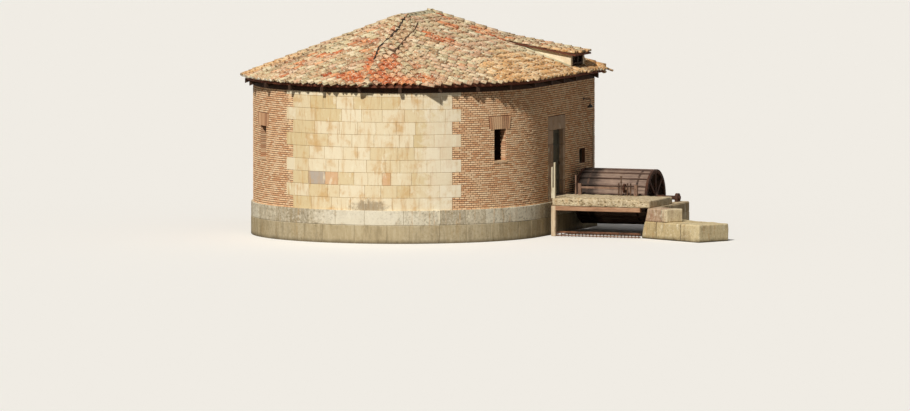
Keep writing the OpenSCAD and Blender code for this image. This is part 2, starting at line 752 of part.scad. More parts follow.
wheel_x0 = channel_x0 + wheel_gap;
wheel_x1 = wheel_x0 + wheel_l;
axle_z = deck_z0 + axle_up;
journal_l = 90;
bearing_h = 130;
bearing_x = channel_x1 + 60;
module on_axle(x) translate([x, axle_y, axle_z]) rotate([0, 90, 0]) children();

// Bearing blocks: one on the plinth, one on the side wall
module bearings()
    color(iron) difference() {
        union() {
            span([channel_x0, axle_y - 120, axle_z - 200], [channel_x0 + journal_l, axle_y + 120, axle_z]);
            span([bearing_x, axle_y - 120, deck_z0], [bearing_x + journal_l, axle_y + 120, axle_z]);
            for (x = [channel_x0, bearing_x]) on_axle(x) cylinder(h = journal_l, r = bearing_h);
        }
        for (x = [channel_x0, bearing_x])
            on_axle(x - over) cylinder(h = journal_l + 2 * over, r = axle_r + run_gap);
        span([channel_x1, axle_y - bearing_bed, 0], [channel_x1 + side_wall_t, side_wall_end, deck_z0]);
    }

module wheel_axle()
    color(iron) on_axle(channel_x0 + 20) cylinder(h = channel_w + 60 + journal_l + 20, r = axle_r);

// Rim, arms and hub of one end, as one piece each side
hub_r = 150;
arm_w = 80;
module wheel_end()
    difference() {
        union() {
            difference() {
                cylinder(h = rim_t, r = wheel_r);
                translate([0, 0, -over]) cylinder(h = rim_t + 2 * over, r = wheel_r - rim_w);
            }
            cylinder(h = rim_t, r = hub_r);
            for (i = [0:arms - 1]) rotate([0, 0, i * 360 / arms])
                translate([hub_r / 2, -arm_w / 2, 10])
                    cube([wheel_r - rim_w / 2 - hub_r / 2, arm_w, rim_t - 20]);
        }
        translate([0, 0, -over]) cylinder(h = rim_t + 2 * over, r = axle_r);
    }

module wheel_ends()
    color(iron) {
        on_axle(wheel_x0) wheel_end();
        on_axle(wheel_x1 - rim_t) wheel_end();
    }

board_out = wheel_r - float_h;
drum_t = 25;
plates = 10;
plate_gap_a = 0.6;
module wheel_boards()
    color([0.48, 0.33, 0.27]) for (i = [0:plates - 1]) {
        on_axle(wheel_x0 + rim_t) rotate([0, 0, i * 360 / plates])
            rotate_extrude(angle = 360 / plates - plate_gap_a)
                translate([board_out - drum_t, 0]) square([drum_t, wheel_l - 2 * rim_t]);
    }

float_t = 34;
module wheel_floats()
    color([0.42, 0.28, 0.22]) for (i = [0:floats - 1])
        on_axle(wheel_x0 + rim_t) rotate([0, 0, (i + 0.5) * 360 / floats])
            translate([board_out, -float_t / 2, 0]) cube([float_h - 2, float_t, wheel_l - 2 * rim_t]);

foundation_core();
plinth_nose_left();
plinth_nose_front();
plinth_nose_right();
plinth_flank_right();
plinth_flank_left();
plinth_rear();
floor();
wall_brick_left();
wall_stone_front();
wall_brick_right();
wall_slit_right();
wall_brick_end();
wall_door_near();
wall_over_door();
wall_door_far();
wall_flank_left();
wall_rear();
door_sill();
door_jambs();
door_lintel();
door_leaf();
door_straps();
door_pintles();
wall_plates();
eave_boards();
rafters();
roof_nose();
roof_right();
roof_left();
roof_rear();
dormer_roof();
dormer_cheeks();
dormer_frame();
hatch_frame();
lamp();
deck_slab();
deck_frame();
slot_post();
trash_rack();
side_wall();
wing_wall();
wing_seat();
sluice_bench();
sluice_pinion();
sluice_racks();
bearings();
wheel_axle();
wheel_ends();
wheel_boards();
wheel_floats();
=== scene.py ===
"""Looks of the river watermill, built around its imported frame.

Masonry skins, curved roof tiles, weathered timber and rusty iron are modelled as real geometry on the
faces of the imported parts. Everything is in metres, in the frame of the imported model: the origin is the
centre of the round nose at water level, the nose points along -Y and the door flank faces +X.
"""

import logging
import math
import random
from dataclasses import dataclass, field
from enum import Enum
from typing import Callable, Iterable, Iterator, Sequence

import bmesh
import bpy
from mathutils import Matrix, Vector, noise


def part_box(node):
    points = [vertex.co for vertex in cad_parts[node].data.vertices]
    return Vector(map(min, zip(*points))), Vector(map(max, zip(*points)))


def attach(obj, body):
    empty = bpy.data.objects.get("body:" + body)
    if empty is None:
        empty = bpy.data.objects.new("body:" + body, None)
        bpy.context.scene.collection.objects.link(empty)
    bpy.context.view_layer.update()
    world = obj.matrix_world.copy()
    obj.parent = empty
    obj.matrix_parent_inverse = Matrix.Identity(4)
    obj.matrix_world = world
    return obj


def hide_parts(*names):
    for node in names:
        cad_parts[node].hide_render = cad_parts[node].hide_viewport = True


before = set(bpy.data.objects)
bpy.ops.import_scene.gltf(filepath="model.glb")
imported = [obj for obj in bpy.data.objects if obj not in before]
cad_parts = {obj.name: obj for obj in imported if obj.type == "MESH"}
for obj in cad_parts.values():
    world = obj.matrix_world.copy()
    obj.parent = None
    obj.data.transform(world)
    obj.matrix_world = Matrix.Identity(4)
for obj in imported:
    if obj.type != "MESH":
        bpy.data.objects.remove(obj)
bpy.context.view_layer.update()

log = logging.getLogger("watermill")

Point = tuple[float, float, float]
Colour = tuple[float, float, float, float]
Socket = bpy.types.NodeSocket
Value = Socket | float | Colour
Span = tuple[float, float]
Reach = Callable[[int], Span]  # of a course, by its number
Top = Callable[[float, float], float]  # height over the plan
Inside = Callable[[float, float], bool]  # whether a point of the plan belongs to a slope

# Screen colours that two finishes share
BRICK_MORTAR = ("6E4A35", "8A6148")
DOOR_IRON = ("1E1713", "3A2A22", "5F4030")
# Seed of the noise that wears the surfaces, so that every run gives the same mill
WEAR_SEED = 7


def paint(code: str) -> Colour:
    """Turn a screen colour of six hexadecimal digits into a linear one with full alpha."""
    parts = [int(code[i : i + 2], 16) / 255 for i in (0, 2, 4)]
    return (*[p / 12.92 if p <= 0.04045 else ((p + 0.055) / 1.055) ** 2.4 for p in parts], 1.0)


class Axis(Enum):
    """Main directions of the frame."""

    X = 0
    Y = 1
    Z = 2


class Graph:
    """Node tree of one material, with short calls for the nodes that the finishes share."""

    def __init__(self, name: str) -> None:
        """Start a material with a plain shader.

        Args:
            name: Name of the material.
        """
        self.material = bpy.data.materials.new(name)
        self.material.use_nodes = True
        self.tree = self.material.node_tree
        self.shader = self.tree.nodes["Principled BSDF"]
        self.place = self.tree.nodes.new("ShaderNodeTexCoord").outputs["Object"]

    def feed(self, socket: Socket, value: Value) -> None:
        """Link a socket to another one, or set it to a plain value.

        Args:
            socket: The input that is fed.
            value: An output, a number or a colour.
        """
        if isinstance(value, bpy.types.NodeSocket):
            self.tree.links.new(value, socket)
        else:
            socket.default_value = value

    def node(self, kind: str, inputs: dict[str | int, Value], out: str | int = 0, **settings: str) -> Socket:
        """Add a node and feed its inputs.

        Args:
            kind: Type of the node, without the word that all shader nodes start with.
            inputs: Value or link of each input.
            out: Output that is wanted.
            settings: Properties of the node.

        Returns:
            The wanted output.
        """
        node = self.tree.nodes.new(f"ShaderNode{kind}")
        for name, choice in settings.items():
            setattr(node, name, choice)
        for key, value in inputs.items():
            self.feed(node.inputs[key], value)
        return node.outputs[out]

    def noise(self, scale: float, detail: float = 5.0, rough: float = 0.6, place: Socket | None = None) -> Socket:
        """Return noise from 0 to 1, with some features to the metre and finer layers over them."""
        inputs = {"Scale": scale, "Detail": detail, "Roughness": rough, "Vector": place or self.place}
        return self.node("TexNoise", inputs, "Fac")

    def stretched(self, factors: Point) -> Socket:
        """Return the object coordinates scaled by a factor along each axis."""
        return self.node("Mapping", {"Scale": factors, "Vector": self.place})

    def streaks(self, scale: float, detail: float, squeeze: float) -> Socket:
        """Return noise that is drawn out upright, as running water leaves it."""
        return self.noise(scale, detail, 0.7, self.stretched((1.0, 1.0, squeeze)))

    def attribute(self, name: str) -> Socket:
        """Return the value of a mesh attribute."""
        return self.node("Attribute", {}, "Fac", attribute_name=name)

    def steps(self, factor: Socket, *stops: tuple[float, str]) -> Socket:
        """Run a factor through a colour ramp.

        Args:
            factor: Value from 0 to 1.
            stops: Place and screen colour of each stop, in rising order.

        Returns:
            The colour.
        """
        node = self.tree.nodes.new("ShaderNodeValToRGB")
        ramp = node.color_ramp
        while len(ramp.elements) < len(stops):
            ramp.elements.new(1.0)
        for element, (where, code) in zip(ramp.elements, stops):
            element.position = where
            element.color = paint(code)
        self.feed(node.inputs["Fac"], factor)
        return node.outputs["Color"]

    def between(self, value: Socket, low: float, high: float, to_low: float = 0.0, to_high: float = 1.0) -> Socket:
        """Map a value smoothly from one range to another, clamped at both ends."""
        inputs = {"Value": value, "From Min": low, "From Max": high, "To Min": to_low, "To Max": to_high}
        return self.node("MapRange", inputs, "Result", interpolation_type="SMOOTHSTEP")

    def maths(self, operation: str, a: Value, b: Value = 0.0) -> Socket:
        """Return the result of a math node on two values."""
        return self.node("Math", {0: a, 1: b}, operation=operation)

    def plus(self, a: Value, b: Value, times: float) -> Socket:
        """Return the first value plus some times the second one."""
        return self.maths("ADD", a, self.maths("MULTIPLY", b, times))

    def blend(self, factor: Value, a: Value, b: Value) -> Socket:
        """Return two colours blended, by the share of the second one."""
        return self.node("Mix", {0: factor, 6: a, 7: b}, 2, data_type="RGBA", blend_type="MIX")

    def tint(self, colour: Value, pattern: Socket, none: float, full: float, share: float, code: str) -> Socket:
        """Lay a screen colour over another one as a pattern runs from none to full, up to a share."""
        return self.blend(self.between(pattern, none, full, 0.0, share), colour, paint(code))

    def axes(self) -> tuple[Socket, Socket, Socket]:
        """Return the three object coordinates as separate values."""
        node = self.tree.nodes.new("ShaderNodeSeparateXYZ")
        self.feed(node.inputs[0], self.place)
        return node.outputs[0], node.outputs[1], node.outputs[2]

    def relief(self, height: Socket, depth: float) -> None:
        """Raise the shading normal by a pattern that stands for a height of depth metres at 1."""
        self.feed(self.shader.inputs["Normal"], self.node("Bump", {"Distance": depth, "Height": height}, "Normal"))

    def surface(self, colour: Socket, roughness: Value, metal: float = 0.0) -> None:
        """Set the shader's colour, roughness and share of metal."""
        self.feed(self.shader.inputs["Base Color"], colour)
        self.feed(self.shader.inputs["Roughness"], roughness)
        self.shader.inputs["Metallic"].default_value = metal
        self.shader.inputs["Specular IOR Level"].default_value = 0.25


@dataclass(frozen=True)
class Patch:
    """A patch of colour on the round nose, as an ellipse in angle and height, for bleached places, darker places and
    painted light.
    """

    angle: float  # middle, in degrees from -Y towards +X
    level: float  # middle
    half_angle: float  # degrees
    half_height: float
    colour: str
    strength: float = 0.7
    floor: float = -1.0  # the patch stops at this level

    def lay(self, graph: Graph, colour: Socket) -> Socket:
        """Lay the patch over a colour.

        Args:
            graph: Graph of the material.
            colour: The colour underneath.

        Returns:
            The blended colour.
        """
        x, y, z = graph.axes()
        angle = graph.maths("ARCTAN2", x, graph.maths("MULTIPLY", y, -1.0))
        across = graph.maths("SUBTRACT", angle, math.radians(self.angle))
        across = graph.maths("DIVIDE", across, math.radians(self.half_angle))
        upright = graph.maths("DIVIDE", graph.maths("SUBTRACT", z, self.level), self.half_height)
        far = graph.maths("ADD", graph.maths("POWER", across, 2.0), graph.maths("POWER", upright, 2.0))
        far = graph.plus(far, graph.noise(5.0, 6.0, 0.7), 3.0)
        inside = graph.between(far, 1.7, 2.5, self.strength, 0.0)
        above = graph.between(z, self.floor - 0.01, self.floor + 0.01)
        return graph.blend(graph.maths("MULTIPLY", inside, above), colour, paint(self.colour))


@dataclass(frozen=True)
class Finish:
    """A surface finish with a name; each kind of finish says how it is painted."""

    name: str

    def material(self) -> bpy.types.Material:
        """Return the material, made the first time that it is asked for."""
        title = f"{self.name}_finish"
        found = bpy.data.materials.get(title)
        if found:
            return found
        graph = Graph(title)
        self.dress(graph)
        return graph.material

    def dress(self, graph: Graph) -> None:
        """Paint the material's graph.

        Args:
            graph: Graph of the material.
        """
        raise NotImplementedError


@dataclass(frozen=True)
class ClayTile(Finish):
    """Old curved clay tile with a tone for each tile, warm and mossy patches and dark specks."""

    pale: float = 0.0  # share of pale lichen all over

    def dress(self, graph: Graph) -> None:
        """Paint buff, clay and moss by the attributes of each tile, then lichen and soot over them."""
        mottle = graph.noise(14.0, 6.0, 0.7)
        shade = graph.plus(graph.maths("MULTIPLY", graph.attribute("tone"), 0.75), mottle, 0.3)
        buff = graph.steps(shade, (0.08, "8A6B4E"), (0.33, "BC9A73"), (0.6, "D4B790"), (0.9, "EAD8B8"))
        clay = graph.steps(shade, (0.1, "A4502E"), (0.4, "CC7044"), (0.7, "DE925E"), (0.95, "EAB88C"))
        moss = graph.steps(shade, (0.1, "A0744A"), (0.4, "D4A168"), (0.7, "E6BC88"), (0.95, "F0D4AA"))
        hue = graph.attribute("hue")
        buff = graph.tint(buff, hue, 0.66, 0.84, 0.5, "D2A084")
        buff = graph.tint(buff, hue, 0.36, 0.2, 0.45, "D0CAA2")
        warm = graph.plus(graph.attribute("warm"), mottle, 0.35)
        colour = graph.blend(graph.between(warm, 0.45, 0.75), buff, clay)
        dry = graph.between(graph.maths("ADD", graph.attribute("moss"), graph.noise(5.0)), 0.75, 1.15)
        colour = graph.blend(dry, colour, moss)
        colour = graph.tint(colour, graph.noise(9.0, 5.0, 0.7), 0.56, 0.64, 0.7, "CE8560")
        colour = graph.tint(colour, graph.noise(20.0, 3.0), 0.55, 0.62, 0.75, "EDE5C6")
        colour = graph.tint(colour, graph.noise(15.0, 5.0, 0.75), 0.54, 0.63, 0.85, "4C3A2D")
        if self.pale:
            colour = graph.blend(self.pale, colour, paint("D6D0AC"))
        graph.surface(colour, graph.between(mottle, 0.3, 0.7, 0.8, 0.98))
        graph.relief(graph.noise(60.0, 4.0, 0.7), 0.004)


@dataclass(frozen=True)
class Brick(Finish):
    """Thin hand-made brick with a tone for each brick, from dark over body to light."""

    dark: str = "DFAA7E"
    body: str = "F7CCA0"
    light: str = "FFE0B8"

    def dress(self, graph: Graph) -> None:
        """Paint each brick by its tone, with weathering in wide clouds."""
        grain = graph.noise(45.0, 5.0, 0.7)
        shade = graph.plus(graph.attribute("tone"), graph.maths("SUBTRACT", grain, 0.5), 0.5)
        colour = graph.steps(shade, (0.1, self.dark), (0.5, self.body), (0.9, self.light))
        colour = graph.tint(colour, graph.noise(1.3, 3.0), 0.45, 0.75, 0.3, "DEC19A")
        graph.surface(colour, 0.92)
        graph.relief(grain, 0.005)


@dataclass(frozen=True)
class Mortar(Finish):
    """Sandy lime mortar, with a second colour where it is washed out."""

    colour: str
    washed: str = "B79A72"

    def dress(self, graph: Graph) -> None:
        """Paint the mortar with fine sand and darker washed-out places."""
        sand = graph.noise(70.0, 4.0, 0.8)
        colour = graph.tint(paint(self.colour), graph.noise(2.0, 4.0), 0.4, 0.7, 0.5, self.washed)
        colour = graph.tint(colour, sand, 0.5, 0.7, 0.35, "7F6848")
        graph.surface(colour, 0.95)
        graph.relief(sand, 0.006)


@dataclass(frozen=True)
class DressedStone(Finish):
    """Cut stone with a tone for each block, ochre clouds, streaks, and patches that include painted light."""

    dark: str = "E0CA9B"
    body: str = "EAD7B0"
    light: str = "F3E5C6"
    ochre: str = "D2A566"  # of the clouds
    cloud_share: float = 0.6
    damp_top: float = 0.12  # dark with water up to here
    patches: tuple[Patch, ...] = ()
    tide: tuple[float, str, float] = (0.0, "8F7B58", 0.0)  # level, colour and share of the wash under it
    rare: tuple[str, str] = ("BFB2A4", "E2BA92")  # two rare kinds of block
    mottle: float = 0.0  # share of the specks
    runs: float = 0.0  # share of the upright runs under the tide

    def dress(self, graph: Graph) -> None:
        """Paint blocks by tone, the rare ones at its end, then clouds, streaks, patches (one of them painted light)
        and damp.
        """
        first, second = self.rare
        plain = ((0.0, self.dark), (0.3, self.body), (0.7, self.light), (0.8, self.light))
        rare = ((0.84, first), (0.9, first), (0.94, second), (1.0, second))
        colour = graph.steps(graph.attribute("tone"), *plain, *rare)
        colour = graph.tint(colour, graph.noise(2.6, 4.0, 0.6), 0.5, 0.72, self.cloud_share, self.ochre)
        colour = graph.tint(colour, graph.streaks(5.0, 4.0, 0.16), 0.5, 0.72, 0.55, self.ochre)
        colour = graph.tint(colour, graph.streaks(11.0, 4.0, 0.12), 0.54, 0.68, 0.5, "C9A06A")
        pale = graph.streaks(6.5, 5.0, 0.4)
        colour = graph.tint(colour, pale, 0.54, 0.7, 0.65, "F8EED2")
        if self.mottle:
            flecks = graph.noise(15.0, 5.0, 0.7)
            colour = graph.tint(colour, flecks, 0.47, 0.38, self.mottle, "6E6049")
            colour = graph.tint(colour, flecks, 0.54, 0.62, self.mottle, "F1E8D3")
        colour = graph.tint(colour, graph.noise(55.0, 3.0), 0.66, 0.74, 0.6, "8E744C")
        # patches: bleached and darker places, and painted light
        for patch in self.patches:
            colour = patch.lay(graph, colour)
        z = graph.axes()[2]
        level, wash, share = self.tide
        colour = graph.tint(colour, z, level, level - 0.02, share, wash)
        if self.runs:
            wet, under = graph.streaks(7.0, 6.0, 0.2), graph.between(z, level, level - 0.02)
            for none, full, code in ((0.5, 0.62, "6B5C42"), (0.46, 0.38, "D9CBAA")):
                run = graph.maths("MULTIPLY", graph.between(wet, none, full, 0.0, self.runs), under)
                colour = graph.blend(run, colour, paint(code))
        waved = graph.plus(z, graph.noise(3.0), 0.12)
        colour = graph.tint(colour, waved, self.damp_top + 0.16, self.damp_top, 0.75, "4A4130")
        graph.surface(colour, graph.between(pale, 0.3, 0.7, 0.82, 0.95))
        graph.relief(graph.noise(38.0, 5.0, 0.72), 0.006)


@dataclass(frozen=True)
class Plaster(Finish):
    """Cream lime plaster with rain stains."""

    colour: str

    def dress(self, graph: Graph) -> None:
        """Paint pale plaster with brown runs and damp clouds."""
        colour = graph.tint(paint(self.colour), graph.noise(2.2, 5.0, 0.65), 0.45, 0.7, 0.5, "DDBD88")
        colour = graph.tint(colour, graph.streaks(7.0, 4.0, 0.2), 0.5, 0.75, 0.4, "B4946A")
        graph.surface(colour, 0.93)
        graph.relief(graph.noise(24.0, 6.0, 0.75), 0.008)


@dataclass(frozen=True)
class Timber(Finish):
    """Old wood with grain along one axis."""

    dark: str  # grain
    body: str
    light: str  # bleached places
    along: Axis  # of the grain
    painted_shadow_x: float = -9.0  # painted shadow of the house, nearly black, up to this place along X

    def dress(self, graph: Graph) -> None:
        """Paint long grain, cracks, bleached places and a nearly black painted shadow up to a place along X."""
        factors = tuple(0.06 if axis is self.along else 1.0 for axis in Axis)
        grain = graph.noise(42.0, 5.0, 0.7, graph.stretched(factors))
        colour = graph.steps(grain, (0.3, self.dark), (0.5, self.body), (0.68, self.light))
        colour = graph.tint(colour, graph.noise(3.0, 5.0), 0.45, 0.7, 0.5, self.light)
        colour = graph.tint(colour, grain, 0.33, 0.24, 0.8, self.dark)
        # painted shadow: nearly black below a ragged edge along X
        reach = graph.plus(graph.axes()[0], graph.noise(4.0, 4.0), 0.4)
        colour = graph.tint(colour, reach, self.painted_shadow_x + 0.3, self.painted_shadow_x, 0.85, "1A1411")
        graph.surface(colour, graph.between(grain, 0.3, 0.7, 0.72, 0.92))
        graph.relief(grain, 0.006)


@dataclass(frozen=True)
class RustyIron(Finish):
    """Wrought and cast iron with layered rust and what is left of old paint."""

    dark: str  # oldest rust
    body: str
    bright: str  # fresh rust
    paint_left: str = "6B5446"
    paint_share: float = 0.2

    def dress(self, graph: Graph) -> None:
        """Paint rust in clouds, with pits and streaks."""
        cloud, pits = graph.noise(6.0, 6.0, 0.7), graph.noise(80.0, 4.0, 0.7)
        colour = graph.steps(cloud, (0.3, self.dark), (0.5, self.body), (0.72, self.bright))
        colour = graph.tint(colour, graph.noise(4.0, 5.0, 0.7), 0.5, 0.58, self.paint_share, self.paint_left)
        colour = graph.tint(colour, pits, 0.56, 0.7, 0.6, self.dark)
        graph.surface(colour, graph.between(cloud, 0.3, 0.7, 0.7, 0.92), 0.2)
        graph.relief(pits, 0.003)


@dataclass(frozen=True)
class Enamel(Finish):
    """Dull dark enamel with chips and dust."""

    colour: str = "232321"

    def dress(self, graph: Graph) -> None:
        """Paint the enamel with dust above and rust in the chips."""
        dust, chips = graph.noise(12.0, 5.0), graph.noise(50.0, 3.0)
        colour = graph.tint(paint(self.colour), dust, 0.45, 0.7, 0.4, "6F685B")
        colour = graph.tint(colour, chips, 0.62, 0.68, 1.0, "6A3F2A")
        graph.surface(colour, graph.between(dust, 0.3, 0.7, 0.45, 0.75))
        graph.relief(chips, 0.001)


@dataclass(frozen=True)
class Glazing(Finish):
    """Dusty dark window glass."""

    colour: str = "2A3130"

    def dress(self, graph: Graph) -> None:
        """Paint dark glass with a film of dust."""
        film = graph.noise(9.0, 5.0)
        colour = graph.tint(paint(self.colour), film, 0.45, 0.75, 0.5, "6E6E62")
        graph.surface(colour, graph.between(film, 0.4, 0.75, 0.12, 0.5))


def as_mesh(bm: bmesh.types.BMesh, name: str) -> bpy.types.Mesh:
    """Turn a finished bmesh into a named mesh and free it.

    Args:
        bm: The bmesh.
        name: Name of the mesh.

    Returns:
        The mesh.
    """
    mesh = bpy.data.meshes.new(name)
    bm.to_mesh(mesh)
    bm.free()
    return mesh


def in_scene(name: str, data: bpy.types.ID) -> bpy.types.Object:
    """Add an object to the scene, at the origin, and return it."""
    made = bpy.data.objects.new(name, data)
    bpy.context.scene.collection.objects.link(made)
    return made


class Shape:
    """A mesh in the making: blocks and turned parts are added, cut, worn and then made a piece."""

    def __init__(self) -> None:
        """Start an empty mesh with a tone for each face."""
        self.bm = bmesh.new()
        self.tone = self.bm.faces.layers.float.new("tone")

    @classmethod
    def of_part(cls, node: str) -> "Shape":
        """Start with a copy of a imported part.

        Args:
            node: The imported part.

        Returns:
            The copy, as one closed mesh.
        """
        shape = cls()
        shape.bm.from_mesh(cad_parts[node].data)
        bmesh.ops.remove_doubles(shape.bm, verts=shape.bm.verts[:], dist=1e-4)
        return shape

    def dye(self, verts: Iterable[bmesh.types.BMVert], tone: float) -> list[bmesh.types.BMVert]:
        """Give the faces round some vertices their tone.

        Args:
            verts: The vertices.
            tone: Tone of the faces round them.

        Returns:
            The vertices as a list.
        """
        verts = list(verts)
        for face in {f for v in verts for f in v.link_faces}:
            face[self.tone] = tone
        return verts

    def block(self, low: Sequence[float], high: Sequence[float], tone: float = 0.5) -> list[bmesh.types.BMVert]:
        """Add a box between two opposite corners.

        Args:
            low: Lowest corner.
            high: Highest corner.
            tone: Tone of the box.

        Returns:
            The new vertices.
        """
        size = [b - a for a, b in zip(low, high)]
        centre = [(a + b) / 2 for a, b in zip(low, high)]
        matrix = Matrix.Translation(centre) @ Matrix.Diagonal((*size, 1.0))
        return self.dye(bmesh.ops.create_cube(self.bm, size=1.0, matrix=matrix)["verts"], tone)

    def rod(self, start: Sequence[float], end: Sequence[float], radius: float, sides: int) -> None:
        """Add a straight round rod.

        Args:
            start: Middle of one end.
            end: Middle of the other end.
            radius: Radius of the rod.
            sides: Number of sides.
        """
        a, b = Vector(start), Vector(end)
        matrix = Matrix.Translation((a + b) / 2) @ (b - a).to_track_quat("Z", "Y").to_matrix().to_4x4()
        made = bmesh.ops.create_cone(
            self.bm, cap_ends=True, segments=sides, radius1=radius, radius2=radius, depth=(b - a).length, matrix=matrix
        )
        self.dye(made["verts"], 0.5)

    def stone(self, matrix: Matrix, tone: float) -> None:
        """Add a pebble, as a round stone of one metre shaped by a matrix."""
        made = bmesh.ops.create_icosphere(self.bm, subdivisions=1, radius=1.0, matrix=matrix)
        self.dye(made["verts"], tone)

    def turned(self, profile: Sequence[tuple[float, float]], at: Sequence[float], steps: int) -> None:
        """Spin a profile of radius and height round an axis along X.

        Args:
            profile: Radius and height of each point.
            at: Foot of the axis.
            steps: Number of steps of the turn.
        """
        before = set(self.bm.verts)
        points = [self.bm.verts.new((r, 0.0, h)) for r, h in profile]
        edges = [self.bm.edges.new(pair) for pair in zip(points, points[1:])]
        bmesh.ops.spin(
            self.bm, geom=points + edges, cent=(0, 0, 0), axis=(0, 0, 1), angle=math.tau, steps=steps, use_merge=True
        )
        made = [v for v in self.bm.verts if v not in before]
        bmesh.ops.remove_doubles(self.bm, verts=made, dist=1e-5)
        made = [v for v in self.bm.verts if v not in before]
        turn = Matrix.Rotation(math.pi / 2, 4, "Y")
        bmesh.ops.transform(self.bm, matrix=Matrix.Translation(at) @ turn, verts=made)
        self.dye(made, 0.5)

    def chamfer(self, edges: Iterable[bmesh.types.BMEdge], width: float, segments: int = 1) -> None:
        """Bevel some edges.

        Args:
            edges: The edges.
            width: Width of the bevel.
            segments: Number of its faces.
        """
        bmesh.ops.bevel(
            self.bm, geom=list(edges), offset=width, offset_type="OFFSET", segments=segments, profile=0.5,
            affect="EDGES", material=-1, clamp_overlap=True,
        )

    def cut(self, at: Sequence[float], normal: Sequence[float], near: float = 1e-5) -> None:
        """Cut everything by a plane; a vertex nearer to it than the last value counts as on it."""
        everything = self.bm.verts[:] + self.bm.edges[:] + self.bm.faces[:]
        bmesh.ops.bisect_plane(self.bm, geom=everything, plane_co=at, plane_no=normal, dist=near)

    def slice_at(self, axis: Axis, start: float, end: float, step: float) -> None:
        """Cut everything by evenly spaced planes across an axis.

        Args:
            axis: The axis.
            start: Start of the stretch that is cut.
            end: Its end.
            step: Spacing of the planes.
        """
        count = max(1, round((end - start) / step))
        normal = Vector([float(one is axis) for one in Axis])
        for i in range(1, count):
            self.cut(normal * (start + (end - start) * i / count), normal)

    def wear(self, amount: float, size: float, seed: float = 0.0) -> None:
        """Move every vertex a little by smooth noise.

        Args:
            amount: Furthest move, in metres.
            size: Width of the dents, in metres.
            seed: Shift of the noise, so that pieces differ.
        """
        shift = Vector((seed, seed * 1.7, seed * 0.3))
        for vert in self.bm.verts:
            vert.co += noise.noise_vector(vert.co / size + shift) * amount
            vert.co.z = max(0.0, vert.co.z)

    def groove(self, at: Sequence[float], across: Sequence[float], depth: float) -> None:
        """Press an open joint into everything that a plane cuts.

        Args:
            at: A point of the joint.
            across: Direction across the joint.
            depth: Depth and half width of the joint.
        """
        middle, normal = Vector(at), Vector(across).normalized()
        for side in (-1, 1, 0):
            self.cut(middle + normal * (side * depth), normal, 1e-4)
        self.bm.normal_update()
        for vert in self.bm.verts:
            if abs((vert.co - middle).dot(normal)) < 1e-3:
                vert.co -= vert.normal * depth

    def take(self, part: "Shape", face: "Face") -> None:
        """Bend a part to its wall face and add it to this mesh.

        Args:
            part: The part, laid out on a sheet.
            face: The wall face of the sheet.
        """
        face.bend(part)
        mesh = as_mesh(part.bm, "part")
        self.bm.from_mesh(mesh)
        bpy.data.meshes.remove(mesh)

    def piece(
        self, name: str, finish: Finish, slot: str, body: str = "house", stands_for: Sequence[str] = (),
        smooth: bool = False,
    ) -> None:
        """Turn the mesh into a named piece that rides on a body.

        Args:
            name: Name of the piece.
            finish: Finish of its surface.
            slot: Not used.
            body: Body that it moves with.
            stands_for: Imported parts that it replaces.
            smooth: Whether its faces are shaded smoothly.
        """
        bmesh.ops.recalc_face_normals(self.bm, faces=self.bm.faces[:])
        for face in self.bm.faces:
            face.smooth = smooth
        made = in_scene(name, as_mesh(self.bm, name))
        made.data.materials.append(finish.material())
        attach(made, body)
        if stands_for:
            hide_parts(*stands_for)
        log.info("piece %s: %d faces", name, len(made.data.polygons))


class Face:
    """A wall face as a flat sheet: along it, outwards from it and up."""

    def place(self, along: float, out: float, up: float) -> Vector:
        """Return the point of the frame for a point of the sheet."""
        raise NotImplementedError

    def bend(self, shape: Shape) -> None:
        """Move a mesh that was laid out on the sheet to its place on the wall."""
        for vert in shape.bm.verts:
            vert.co = self.place(*vert.co)


@dataclass(frozen=True)
class RoundFace(Face):
    """Outer face of the nose: the sheet starts at -Y and runs towards +X."""

    radius: float

    def at(self, degrees: float) -> float:
        """Return the place along the sheet for an angle."""
        return math.radians(degrees) * self.radius

    def place(self, along: float, out: float, up: float) -> Vector:
        """Return the point of the frame for a point of the sheet."""
        angle = along / self.radius
        far = self.radius + out
        return Vector((far * math.sin(angle), -far * math.cos(angle), up))


@dataclass(frozen=True)
class FlatFace(Face):
    """A straight face from an origin, in a direction, looking outwards."""

    origin: Point
    run: Point
    outwards: Point

    @classmethod
    def beside(cls, x: float, way: int) -> "FlatFace":
        """Return the face that runs along +Y at a place of X and looks along +X or -X."""
        return cls((x, 0, 0), (0, 1, 0), (way, 0, 0))

    @classmethod
    def behind(cls, y: float) -> "FlatFace":
        """Return the face that runs along +X at a place of Y and looks along +Y."""
        return cls((0, y, 0), (1, 0, 0), (0, 1, 0))

    def place(self, along: float, out: float, up: float) -> Vector:
        """Return the point of the frame for a point of the sheet."""
        return Vector(self.origin) + Vector(self.run) * along + Vector(self.outwards) * out + Vector((0, 0, up))


@dataclass(frozen=True)
class Hole:
    """A rectangle of a sheet that stays free of bricks or stones."""

    start: float
    end: float
    low: float
    high: float

    def cut(self, spans: list[Span], level: float) -> list[Span]:
        """Take this hole out of the spans of one course.

        Args:
            spans: Start and end of each free span.
            level: Height of the middle of the course.

        Returns:
            The spans that are left.
        """
        if not self.low < level < self.high:
            return spans
        left = []
        for a, b in spans:
            left += [(a, min(b, self.start))] if a < self.start else []
            left += [(max(a, self.end), b)] if b > self.end else []
        return left


